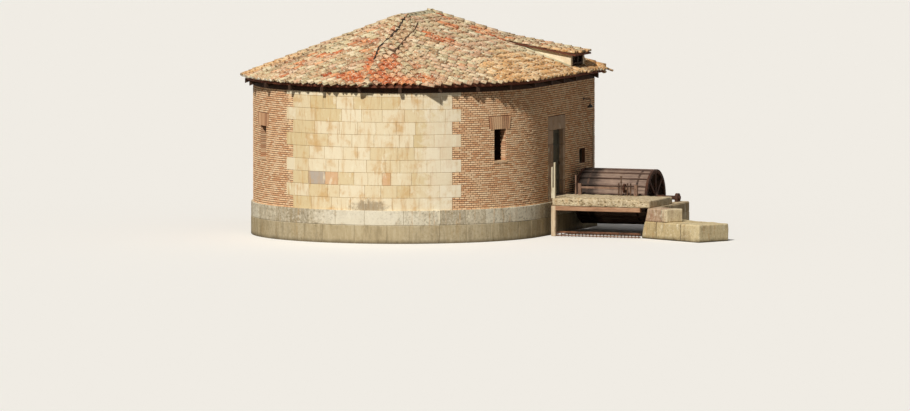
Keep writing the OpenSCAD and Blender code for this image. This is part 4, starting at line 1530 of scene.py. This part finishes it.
    def build_plinth(self) -> None:
        """Lay the stones of the plinth, bleached over the water line in front."""
        bleached = Patch(6.0, 0.74, 22.0, 0.4, "EFE7D2", 0.65, 0.5)
        faded = Patch(6.0, 0.3, 26.0, 0.45, "DCCDAC", 0.55)
        grey = DressedStone(
            "plinth_stone", "B4A890", "CCC0A6", "DED5BE", "A08C68", 0.4, 0.04, (faded, bleached),
            (self.plinth_bed, "AE9A72", 0.65), mottle=0.5, runs=0.3,
        )
        far = self.plinth_r
        nose = RoundFace(far)
        rows = [(0.0, self.plinth_bed), (self.plinth_bed, self.plinth_h + 0.01)]
        sheets: dict[str, tuple[Face, float, float, float]] = {
            "nose": (nose, nose.at(-90), nose.at(90), 0.15),
            "right": (FlatFace.beside(far, 1), 0.0, self.plinth_l, 0.0),
            "left": (FlatFace.beside(-far, -1), 0.0, self.plinth_l, 0.0),
            "rear": (FlatFace.behind(self.plinth_l), -far, far, 0.0),
        }
        for number, (name, (face, start, end, cut)) in enumerate(sheets.items()):
            Courses(
                f"plinth_stones_{name}", face, rows, lambda row, a=start, b=end: (a, b), (0.55, 1.15), joint=0.008,
                proud=0.008, jitter=0.003, edge=0.009, bond=False, cut_every=cut, tones=(0.0, 0.8), seed=31 + number,
                bed=0.056,
            ).build(grey, "plinth_stone")

    def build_pipe(self) -> None:
        """Build the thin pale pipe with its clamps beside the far corner of the door flank."""
        pipe = Shape()
        radius, foot, head, sides = 0.016, 0.95, 3.05, 10
        x, y = self.nose_r + 0.034, self.flank_l - 0.2
        pipe.rod((x, y, foot), (x, y, head), radius, sides)
        for level in (foot + 0.25, (foot + head) / 2, head - 0.1):
            pipe.rod((x, y, level - 0.012), (x, y, level + 0.012), radius + 0.005, sides)
            pipe.block((self.nose_r, y - 0.008, level - 0.008), (x, y + 0.008, level + 0.008))
        pipe.piece("corner_pipe", Mortar("limed_pipe", "E6DCC8", "D2C6B0"), "lamp_metal")

    @staticmethod
    def across(degrees: float) -> FlatFace:
        """Return a flat sheet across a slit of the nose, with its origin on the axis of the nose."""
        angle = math.radians(degrees)
        out = (math.sin(angle), -math.cos(angle), 0.0)
        return FlatFace((0, 0, 0), (math.cos(angle), math.sin(angle), 0.0), out)

    def build_slits(self) -> None:
        """Build the flat arches, the sills and the brick reveals of the four slits, the deeper reveals in near-black
        brick as painted shade.
        """
        arches, sills, reveals, depths = (Shape() for _ in range(4))
        sheets = [(self.across(angle), 0.0, self.nose_r) for angle in self.slits]
        sheets += [(self.left, self.flank_slit, 0.0), (self.rear, 0.0, 0.0)]
        draw = random.Random(41)
        low, high = self.slit_z
        step = self.course_h / self.bricks_a_course
        foot_half, splay, joint = self.arch_half - 0.05, 1.125, 0.012
        for face, middle, front in sheets:
            part = Shape()
            width = 2 * foot_half / self.arch_bricks
            for i in range(self.arch_bricks):
                a = middle - foot_half + width * i
                out = front + 0.012 + draw.uniform(0, 0.003)
                top = high + self.arch_h - 0.006
                for vert in part.block((a + joint, out - 0.1, high), (a + width - joint, out, top), draw.random()):
                    if vert.co.z > high + 0.1:
                        vert.co.x = middle + (vert.co.x - middle) * splay
            arches.take(part, face)
            part = Shape()
            part.block((middle - 0.25, front - 0.2, low - 0.045), (middle + 0.25, front + 0.022, low + 0.012), 0.7)
            sills.take(part, face)
            part, dark = Shape(), Shape()
            foot = low + 0.02
            for side in (-1, 1):
                a, b = sorted(middle + side * (self.slit_half + more) for more in (-0.006, 0.02))
                for i in range(int((high - foot) / step) + 1):
                    level, top = foot + i * step, min(foot + (i + 1) * step, high)
                    deep = front - 0.2 - 0.03 * (i % 2)
                    part.block((a, deep + 0.01, level), (b, front - 0.008, top - 0.013), draw.random())
                    # deeper in the slit the reveal bricks are near-black: painted shade
                    dark.block((a, front - 0.59, level), (b, deep, top - 0.001), draw.random())
            reveals.take(part, face)
            depths.take(dark, face)
        arches.piece("slit_arches", Brick("arch_brick", "B28262", "D4A47C", "E4BC94"), "brick")
        sills.piece("slit_sills", DressedStone("sill_stone", "C8A07C", "D5B08C", "E0C09C"), "dressed_stone")
        reveals.piece("slit_reveals", Brick("reveal_brick", "C99672", "DDB08A", "EFCBA4"), "brick")
        # near-black brick as painted shade in the depth of the slits
        depths.piece("slit_depths", Brick("painted_shade_brick", "1C130E", "2A1D16", "382A20"), "brick")


@dataclass
class Doorway:
    """Stone surround and leaf of the door, and the small hatch beside it."""

    face_x: float = 4.2  # of the flank
    thick: float = 0.6
    near: Span = (0.78, 1.2)  # edges of the near jamb
    far: Span = (2.0, 2.18)  # edges of the far jamb
    foot_z: float = 0.93  # under the sill
    near_cuts: tuple[float, ...] = (1.08, 1.62, 2.05, 2.58, 2.97)  # floor, joints and lintel
    far_cuts: tuple[float, ...] = (1.08, 1.5, 2.12, 2.5, 2.97)
    lintel_top: float = 3.36
    gap: float = 0.004  # half of a joint
    stile: float = 0.11  # width, of the rails too
    boards: int = 5
    panels: int = 4

    def build(self) -> None:
        """Build the surround, the leaf and the hatch."""
        self.build_surround()
        self.build_leaf()
        self.build_hatch()

    def build_surround(self) -> None:
        """Build the jambs, the lintel and the sill as separate worn stones."""
        inner, outer = self.face_x - self.thick, self.face_x + 0.012
        stones = DressedStone("door_stone", "836C5A", "A08772", "B9A089", "8E6E52", 0.5, 0.0)
        jambs = Shape()
        draw = random.Random(51)
        for cuts, (a, b) in ((self.near_cuts, self.near), (self.far_cuts, self.far)):
            for low, high in zip(cuts, cuts[1:]):
                jambs.block((inner, a, low + self.gap), (outer, b, high - self.gap), draw.uniform(0.1, 0.7))
        jambs.chamfer(jambs.bm.edges[:], 0.008, 2)
        jambs.piece("door_jamb_stones", stones, "door_stone", stands_for=("door_jambs",))
        start, end, floor_z, head_z = self.near[0], self.far[1], self.near_cuts[0], self.near_cuts[-1]
        for name, low, high, proud, tone, edge, amount, size in (
            ("lintel", head_z, self.lintel_top, 0.004, 0.6, 0.012, 0.004, 0.15),
            ("sill", self.foot_z, floor_z, 0.01, 0.4, 0.014, 0.006, 0.2),
        ):
            stone = Shape()
            stone.block((inner, start, low), (outer + proud, end, high), tone)
            stone.chamfer(stone.bm.edges[:], edge, 2)
            stone.slice_at(Axis.Y, start, end, 0.12)
            stone.wear(amount, size)
            stone.piece(f"door_{name}_stone", stones, "door_stone", stands_for=(f"door_{name}",))

    def build_leaf(self) -> None:
        """Build the leaf with boards in sunk panels, rails, stiles, studs and a ring handle."""
        low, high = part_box("door_leaf")
        leaf, stile = Shape(), self.stile
        back, front = low.x, high.x
        width = (high.y - low.y - 2 * stile) / self.boards
        for i in range(self.boards):
            a = low.y + stile + i * width
            leaf.block((back, a + 0.002, low.z + 0.02), (front - 0.018, a + width - 0.002, high.z - 0.02))
        for a in (low.y, high.y - stile):
            leaf.block((back, a, low.z), (front, a + stile, high.z))
        step = (high.z - low.z - stile) / self.panels
        rails = [low.z + i * step for i in range(self.panels + 1)]
        for z in rails:
            leaf.block((back + 0.003, low.y + stile, z), (front, high.y - stile, z + stile))
        leaf.chamfer(leaf.bm.edges[:], 0.003)
        wood = Timber("door_boards", "25241D", "47453A", "6A6552", Axis.Z)
        leaf.piece("door_planks", wood, "door_wood", "door", ("door_leaf",))
        studs = Shape()
        near, far = low.y + stile / 2, high.y - stile / 2
        stud = [(0, 0.008), (0.008, 0.006), (0.013, 0), (0.013, -0.004), (0, -0.004)]
        for z in rails:
            for y in (near, far):
                studs.turned(stud, (front, y, z + stile / 2), 8)
        ring_z = low.z + 0.92
        plate = [(0, 0.012), (0.03, 0.008), (0.034, 0), (0.034, -0.004), (0, -0.004)]
        studs.turned(plate, (front, far, ring_z), 16)
        ring_r, wire = 0.036, 0.006
        turns = [k * math.tau / 8 for k in range(9)]
        hoop = [(ring_r + wire * math.cos(turn), wire * math.sin(turn)) for turn in turns]
        studs.turned(hoop, (front + 0.016, far, ring_z - 0.03), 20)
        iron = RustyIron("door_iron", *DOOR_IRON)
        studs.piece("door_studs", iron, "door_iron", "door", smooth=True)

    def build_hatch(self) -> None:
        """Build the glazed light of the hatch in its frame."""
        low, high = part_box("hatch_frame")
        x, middle, edge = (low.x + high.x) / 2, (low.y + high.y) / 2, 0.04
        pane, bar = Shape(), Shape()
        pane.block((x - 0.003, low.y + edge, low.z + edge), (x + 0.003, high.y - edge, high.z - edge))
        pane.piece("hatch_pane", Glazing("dusty_glass"), "hatch_wood")
        bar.block((x - 0.012, middle - 0.01, low.z + edge), (x + 0.02, middle + 0.01, high.z - edge))
        bar.piece("hatch_bar", Timber("hatch_bar_wood", "2B2018", "54402F", "7A6048", Axis.Z), "hatch_wood")


@dataclass
class Headrace:
    """Deck, frame, trash rack, side wall and wing wall of the headrace."""

    wing_foot: Span = (7.15, 0.5)  # where the wing wall starts
    wing_turn: float = 27.0  # out of +X, in degrees
    beam: float = 0.13  # thickness
    post_back: float = 0.2  # from the frame's near end

    def build(self) -> None:
        """Build the deck, the rack and the walls."""
        self.build_slab()
        self.build_pebbles()
        self.build_frame()
        self.build_rack()
        self.build_walls()

    def worn_copy(
        self, node: str, finish: Finish, slot: str, bevel: float, step: float, amount: float, seed: float,
        joints: Sequence[tuple[Point, Point]] = (), tones: Sequence[float] = (0.45,),
        fit: Callable[[bmesh.types.BMesh], None] | None = None,
    ) -> None:
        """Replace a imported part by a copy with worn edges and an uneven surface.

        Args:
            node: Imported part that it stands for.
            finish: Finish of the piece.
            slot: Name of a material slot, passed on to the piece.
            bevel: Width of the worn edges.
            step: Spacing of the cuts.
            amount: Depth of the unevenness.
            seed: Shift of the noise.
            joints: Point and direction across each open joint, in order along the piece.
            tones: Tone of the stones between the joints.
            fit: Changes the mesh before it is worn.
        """
        shape = Shape.of_part(node)
        bm = shape.bm
        bmesh.ops.dissolve_limit(bm, angle_limit=math.radians(1), verts=bm.verts[:], edges=bm.edges[:])
        sharp = [e for e in bm.edges if e.is_manifold and e.calc_face_angle(0.0) > math.radians(30)]
        shape.chamfer(sharp, bevel, 2)
        low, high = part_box(node)
        for axis in Axis:
            shape.slice_at(axis, low[axis.value], high[axis.value], step)
        for at, across in joints:
            shape.groove(at, across, 0.012)
        for face in bm.faces:
            place = face.calc_center_median()
            past = [(place - Vector(at)).dot(Vector(across)) for at, across in joints]
            in_joint = any(abs(far) < 0.014 for far in past)
            face[shape.tone] = 1.0 if in_joint else tones[sum(far > 0 for far in past) % len(tones)]
        if fit:
            fit(bm)
        shape.wear(amount, step * 1.6, seed)
        shape.piece(f"{node}_worn", finish, slot, stands_for=(node,))

    def build_slab(self) -> None:
        """Build the rough slab of the deck."""
        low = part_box("deck_slab")[0]

        def broken_corner(bm: bmesh.types.BMesh) -> None:
            """Break the front corner beside the mill away."""
            for vert in bm.verts:
                near = max(0.0, 1.0 - (vert.co.y - low.y) / 0.7)
                beside = max(0.0, 1.0 - (vert.co.x - low.x) / 0.5)
                vert.co.x += 0.24 * near**0.6 * beside

        slab = DressedStone("pebbly_slab", "9A8868", "BCA886", "D8C7A6", "8A7656", 0.6, 0.0, mottle=0.35)
        self.worn_copy("deck_slab", slab, "deck_stone", 0.03, 0.08, 0.016, 3.0, fit=broken_corner)

    def build_pebbles(self) -> None:
        """Strew pebbles on the slab and set some in its front edge."""
        low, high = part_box("deck_slab")
        draw = random.Random(61)
        pebbles, strewn, set_in_edge = Shape(), 240, 150
        for _ in range(strewn):
            size = draw.uniform(0.018, 0.055)
            y = low.y + abs(draw.gauss(0.0, 0.28)) + 0.03
            at = Vector((draw.uniform(low.x + 0.2, high.x - 0.4), min(y, high.y - 0.1), high.z - size * 0.1))
            turn = Matrix.Rotation(draw.uniform(0, math.pi), 4, "Z")
            flat = Matrix.Diagonal((size, size * draw.uniform(0.6, 0.9), size * 0.5, 1.0))
            pebbles.stone(Matrix.Translation(at) @ turn @ flat, draw.uniform(0.0, 0.8))
        for _ in range(set_in_edge):
            size = draw.uniform(0.016, 0.045)
            x, z = draw.uniform(low.x + 0.3, high.x - 0.1), draw.uniform(low.z + 0.03, high.z - 0.03)
            flat = Matrix.Diagonal((size, size * 0.5, size * draw.uniform(0.5, 0.9), 1.0))
            at = Matrix.Translation((x, low.y + size * 0.2, z))
            pebbles.stone(at @ flat, draw.choice((0.0, 0.1, 0.7, 0.8)))
        pebbles.wear(0.006, 0.03)
        stones = DressedStone("deck_pebbles", "8C795A", "BAA680", "DDCEAC", "86755A", 0.3, 0.0)
        pebbles.piece("deck_pebbles", stones, "deck_stone", smooth=True)

    def build_frame(self) -> None:
        """Build the beams and the post under the deck, and the split post beside them."""
        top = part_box("deck_slab")[0].z
        low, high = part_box("deck_frame")
        beams, post, beam = Shape(), Shape(), self.beam
        post_x = low.x + self.post_back
        beams.block((post_x, low.y, top - beam), (high.x, low.y + beam, top))
        beams.block((low.x, high.y - beam, top - beam), (high.x, high.y, top))
        beams.chamfer(beams.bm.edges[:], 0.01, 2)
        beams.slice_at(Axis.X, low.x, high.x, 0.2)
        beams.wear(0.004, 0.3, 1.0)
        bleached = Timber("bleached_beam", "7C5A42", "AE8466", "C8A282", Axis.X)
        beams.piece("deck_beams", bleached, "deck_timber", stands_for=("deck_frame",))
        proud = 0.004
        post.block((post_x - proud, low.y - proud, 0.0), (post_x + beam, low.y + beam, top - 0.002))
        post.chamfer(post.bm.edges[:], 0.012, 2)
        post.slice_at(Axis.Z, 0.0, top, 0.2)
        post.wear(0.004, 0.3, 2.0)
        upright = Timber("bleached_post", "9C8468", "D0B797", "E6D3B4", Axis.Z)
        post.piece("deck_post", upright, "deck_timber", stands_for=("deck_frame",))
        split = Timber("split_post", "94866C", "D2C6A8", "EFE6CC", Axis.Z)
        self.worn_copy("slot_post", split, "post_wood", 0.006, 0.12, 0.004, 5.0)

    def build_rack(self) -> None:
        """Lay the loose rods on the trash rack."""
        low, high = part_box("trash_rack")
        rods, draw = Shape(), random.Random(71)
        top, near, far = high.z + 0.008, low.y + 0.01, high.y - 0.01
        for i in range(4):
            a = low.x + 0.1 + i * 0.62
            b = a + draw.uniform(0.5, 0.8)
            start, end = draw.uniform(near, far), draw.uniform(near, far)
            rods.rod((a, start, top), (min(b, high.x - 0.03), end, top + 0.002), 0.008, 6)
        rods.rod((low.x, near, 0.03), (high.x, near, 0.03), 0.012, 6)
        rods.piece("rack_rods", RustyIron("loose_rods", "5A3A2A", "A0704F", "CB9A72"), "rack_iron", smooth=True)

    def build_walls(self) -> None:
        """Build the side wall, the wing wall and the stone seat with their courses."""
        stone = DressedStone("race_stone", "978467", "B8A383", "D0BE9C", "8B7552", 0.65, 0.05)
        self.worn_copy("side_wall", stone, "wall_stone", 0.02, 0.3, 0.006, 7.0)
        turn = math.radians(self.wing_turn)
        along = (math.cos(turn), -math.sin(turn), 0.0)

        def joint(reach: float) -> tuple[Point, Point]:
            """Return an upright joint at a distance along the wing wall."""
            return (self.wing_foot[0] + along[0] * reach, self.wing_foot[1] + along[1] * reach, 0.0), along

        dark_joint = "4E412F"
        wing = DressedStone(
            "wing_stone", "A08A64", "BFA97C", "D6C49A", "8F7650", 0.6, 0.05, rare=("BFB2A4", dark_joint), mottle=0.25
        )
        self.worn_copy(
            "wing_wall", wing, "wall_stone", 0.035, 0.16, 0.014, 8.0, (joint(0.62), joint(1.63)), (0.35, 0.5, 0.8)
        )
        seat = DressedStone(
            "seat_stone", "8F7E60", "C4B18C", "DCCCAA", "9A6C52", 0.6, 0.0, rare=("B99D82", dark_joint), mottle=0.3
        )
        self.worn_copy("wing_seat", seat, "wall_stone", 0.03, 0.13, 0.012, 9.0, (joint(0.83),), (0.87, 0.6))
        low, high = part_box("side_wall")
        sheets: dict[str, tuple[Face, Span]] = {
            "outer": (FlatFace.beside(high.x, 1), (1.75, high.y)),
            "inner": (FlatFace.beside(low.x, -1), (1.9, high.y)),
            "end": (FlatFace.behind(high.y), (low.x, high.x)),
        }
        rows = [(0.0, 0.3), (0.3, 0.58), (0.58, 0.85)]
        for number, (name, (face, reach)) in enumerate(sheets.items()):
            Courses(
                f"side_stones_{name}", face, rows, lambda row, ends=reach: ends, (0.3, 0.7), joint=0.014, proud=0.012,
                jitter=0.004, edge=0.012, bond=False, tones=(0.0, 0.8), seed=81 + number,
            ).build(stone, "wall_stone")


@dataclass
class WaterWheel:
    """Bands, bolts and collars of the water wheel."""

    middle: Point = (4.41, 3.2, 0.98)  # on the axis, at the near end
    length: float = 2.2
    drum_r: float = 0.755  # over the boards
    rim_bolts_r: float = 0.745
    bands: Span = (0.16, 0.84)  # shares of the length
    bolts: int = 40  # round a band or a rim

    def build(self) -> None:
        """Build the bands round the drum, the bolts of the rims and the collars of the hub."""
        iron = RustyIron("wheel_bands_rust", "2E2420", "55433A", "76604F")
        start = Vector(self.middle)
        length = Vector((self.length, 0.0, 0.0))
        bands, bolts, collars = Shape(), Shape(), Shape()
        r = self.drum_r
        profile = [(r - 0.004, -0.03), (r + 0.01, -0.03), (r + 0.01, 0.03), (r - 0.004, 0.03)]
        for share in self.bands:
            bands.turned(profile, start + length * share, 60)
        bands.piece("wheel_bands", iron, "wheel_iron", "wheel")
        for i in range(self.bolts):
            angle = (i + 0.25) * math.tau / self.bolts
            out = Vector((0.0, math.cos(angle), math.sin(angle)))
            for share in self.bands:
                at = start + length * share + out * (r + 0.01)
                bolts.rod(at - out * 0.004, at + out * 0.009, 0.014, 6)
            for end, way in ((start, -1), (start + length, 1)):
                at = end + out * self.rim_bolts_r
                bolts.rod(at - Vector((way * 0.004, 0, 0)), at + Vector((way * 0.012, 0, 0)), 0.014, 6)
        bolts.piece("wheel_bolts", iron, "wheel_iron", "wheel")
        for end, way in ((start, -1), (start + length, 1)):
            profile = [(0.062, 0.0), (0.105, 0.0), (0.1, 0.03), (0.085, 0.045), (0.062, 0.045)]
            collars.turned([(radius, way * h) for radius, h in profile], end, 24)
        collars.piece("wheel_collars", iron, "wheel_iron", "wheel")


@dataclass
class SluiceGear:
    """Nuts, collars and pins of the sluice gear on the deck."""

    collar: float = 0.045  # half of its width
    pin_r: float = 0.011
    nut_r: float = 0.03

    def build(self) -> None:
        """Build the collars of the rail, the nuts of the screw rod and the pins of the posts."""
        low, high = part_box("sluice_bench")
        gear_low, gear_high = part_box("sluice_pinion")
        screw_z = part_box("sluice_racks")[1].z
        y, z = (gear_low.y + gear_high.y) / 2, (gear_low.z + gear_high.z) / 2
        trim, half = Shape(), self.collar
        for x in (gear_low.x - 0.03, gear_high.x + 0.002):
            trim.block((x, y - half, z - half), (x + 0.028, y + half, z + half))
        x, screw_y = gear_low.x - 0.06, y - 0.0435
        for down in (0.02, 0.16):
            trim.rod((x, screw_y, screw_z - down - 0.03), (x, screw_y, screw_z - down), self.nut_r, 6)
        for x in (low.x + 0.125, high.x - 0.045):
            for down in (0.15, 0.01):
                trim.rod((x, y - 0.058, z - down), (x, y + 0.058, z - down), self.pin_r, 6)
        trim.chamfer([e for e in trim.bm.edges if e.calc_length() > 0.02], 0.002)
        trim.piece("sluice_trim", RustyIron("sluice_rust", "352820", "66503F", "8E705A"), "gear_iron")


@dataclass
class Studio:
    """Floor, light and camera."""

    azimuth: float = 21.0  # of the camera, from -Y towards +X
    elevation: float = 4.096
    distance: float = 400.0
    pixels_a_metre: float = 35.0
    width: int = 910  # of the picture, in pixels
    target: Point = (1.4536, 0.558, 0.785)  # middle of the picture
    sun_azimuth: float = -1.5
    sun_elevation: float = 42.0
    sun_strength: float = 3.5
    sky_strength: float = 0.18
    sky: str = "F2F1EF"  # its light
    backdrop: str = "FAF9F7"  # sky and floor as the camera sees them
    floor_half: float = 160.0

    @staticmethod
    def direction(azimuth: float, elevation: float) -> Vector:
        """Return the direction towards a place in the sky."""
        a, e = math.radians(azimuth), math.radians(elevation)
        return Vector((math.sin(a) * math.cos(e), -math.cos(a) * math.cos(e), math.sin(e)))

    def build(self) -> None:
        """Set up the view, the light, the floor and the camera."""
        bpy.context.scene.view_settings.view_transform = "Standard"
        self.build_sun()
        self.build_sky()
        self.build_floor()
        self.build_camera()

    def build_camera(self) -> None:
        """Place the camera at the picture's angle and scale."""
        data = bpy.data.cameras.new("camera")
        data.sensor_width = 36.0
        data.lens = data.sensor_width * self.distance / (self.width / self.pixels_a_metre)
        data.clip_start, data.clip_end = 10.0, 2000.0
        camera = in_scene("camera", data)
        back = self.direction(self.azimuth, self.elevation)
        camera.location = Vector(self.target) + back * self.distance
        camera.rotation_mode = "QUATERNION"
        camera.rotation_quaternion = (-back).to_track_quat("-Z", "Y")
        bpy.context.scene.camera = camera

    def build_sun(self) -> None:
        """Make a soft sun from the front left."""
        data = bpy.data.lights.new("sun", "SUN")
        data.energy = self.sun_strength
        data.angle = math.radians(2.5)
        data.color = (1.0, 0.965, 0.9)
        sun = in_scene("sun", data)
        sun.rotation_mode = "QUATERNION"
        sun.rotation_quaternion = self.direction(self.sun_azimuth, self.sun_elevation).to_track_quat("Z", "Y")

    def build_sky(self) -> None:
        """Make an even sky that the camera, gloss and glass see as a pale backdrop."""
        world = bpy.data.worlds.new("sky")
        bpy.context.scene.world = world
        world.use_nodes = True
        tree = world.node_tree
        tree.nodes.clear()
        rays, mix, out, dim, bright = (
            tree.nodes.new(f"ShaderNode{kind}")
            for kind in ("LightPath", "MixShader", "OutputWorld", "Background", "Background")
        )
        dim.inputs["Color"].default_value = paint(self.sky)
        dim.inputs["Strength"].default_value = self.sky_strength
        bright.inputs["Color"].default_value = paint(self.backdrop)
        share = rays.outputs["Is Camera Ray"]
        for name in ("Is Glossy Ray", "Is Transmission Ray"):
            largest = tree.nodes.new("ShaderNodeMath")
            largest.operation = "MAXIMUM"
            tree.links.new(share, largest.inputs[0])
            tree.links.new(rays.outputs[name], largest.inputs[1])
            share = largest.outputs[0]
        for start, end in zip((share, dim.outputs[0], bright.outputs[0]), mix.inputs):
            tree.links.new(start, end)
        tree.links.new(mix.outputs[0], out.inputs[0])

    def build_floor(self) -> None:
        """Lay a wide plain pale floor at water level."""
        bm = bmesh.new()
        bmesh.ops.create_grid(bm, x_segments=1, y_segments=1, size=self.floor_half)
        graph = Graph("pale_floor")
        seen = graph.node("LightPath", {}, "Is Camera Ray")
        graph.feed(graph.shader.inputs["Base Color"], graph.blend(seen, paint("8E8A84"), paint(self.backdrop)))
        graph.shader.inputs["Roughness"].default_value = 0.9
        graph.shader.inputs["Specular IOR Level"].default_value = 0.1
        floor = in_scene("floor_sheet", as_mesh(bm, "floor_sheet"))
        floor.data.materials.append(graph.material)


def dress_frame() -> None:
    """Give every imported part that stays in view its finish."""
    mortar = Mortar("brick_mortar", *BRICK_MORTAR)
    joints = Mortar("stone_joints", "E0CBA0")
    grey = Mortar("plinth_joints", "A2957A", "8C7E62")
    rough = DressedStone("rough_stone", "7D735C", "9A8F74", "ADA287", "7E6E4C", 0.5, 0.0)
    timber = Timber("old_timber", "1F1510", "3C291E", "57402F", Axis.Z)
    # the wheel's boards and floats are painted nearly black up to here along X, as painted shadow of the house
    house_shadow_end = 5.08
    finishes: dict[str, Finish] = {
        "foundation_core": rough,
        "floor": rough,
        "wall_plates": Timber("plate_timber", "20150F", "3E2B20", "59412F", Axis.X),
        "eave_boards": Timber("eave_timber", "3A1B14", "683526", "8A5340", Axis.X),
        "rafters": timber,
        "dormer_cheeks": Plaster("cheek_plaster", "F6E8CA"),
        "dormer_frame": timber,
        "hatch_frame": Timber("hatch_timber", "241A13", "4A3828", "6C543E", Axis.Z),
        "lamp": Enamel("lamp_enamel"),
        "trash_rack": RustyIron("rack_rust", "3A2820", "6E4C3A", "9A6E52"),
        "sluice_bench": RustyIron("bench_rust", "4E3C32", "8A6E5C", "A98A72", "8A6E60", 0.6),
        "sluice_pinion": RustyIron("gear_rust", "2C1C16", "5C3B2C", "84543C"),
        "sluice_racks": RustyIron("rack_bar_rust", "2E2420", "604A3C", "8A6C56"),
        "bearings": RustyIron("bearing_rust", "2A1C17", "4E3328", "70493A"),
        "wheel_axle": RustyIron("axle_rust", "2A1C17", "54372A", "7A503C"),
        "wheel_ends": RustyIron("rim_rust", "241813", "493025", "6E4836"),
        "wheel_boards": Timber("wheel_boards_wood", "54423A", "857064", "A8917F", Axis.X, house_shadow_end),
        "wheel_floats": Timber("wheel_floats_wood", "3E2F29", "665147", "8A7262", Axis.X, house_shadow_end),
        "door_straps": RustyIron("strap_iron", *DOOR_IRON),
        "door_pintles": RustyIron("pintle_iron", *DOOR_IRON),
    }
    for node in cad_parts:
        if node.startswith("wall_"):
            finishes.setdefault(node, joints if node == "wall_stone_front" else mortar)
        elif node.startswith("plinth_"):
            finishes.setdefault(node, grey)
    for node, finish in finishes.items():
        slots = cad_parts[node].data.materials
        slots.clear()
        slots.append(finish.material())
        log.info("frame part %s: %s", node, finish.name)


def main() -> None:
    """Build the looks of the mill, part by part."""
    logging.basicConfig(level=logging.INFO, format="%(message)s")
    noise.seed_set(WEAR_SEED)
    dress_frame()
    for assembly in (Roof(RoofForm.of_frame()), Walls(), Doorway(), Headrace(), WaterWheel(), SluiceGear(), Studio()):
        log.info("building the %s", type(assembly).__name__)
        assembly.build()


if __name__ == "__main__":
    main()
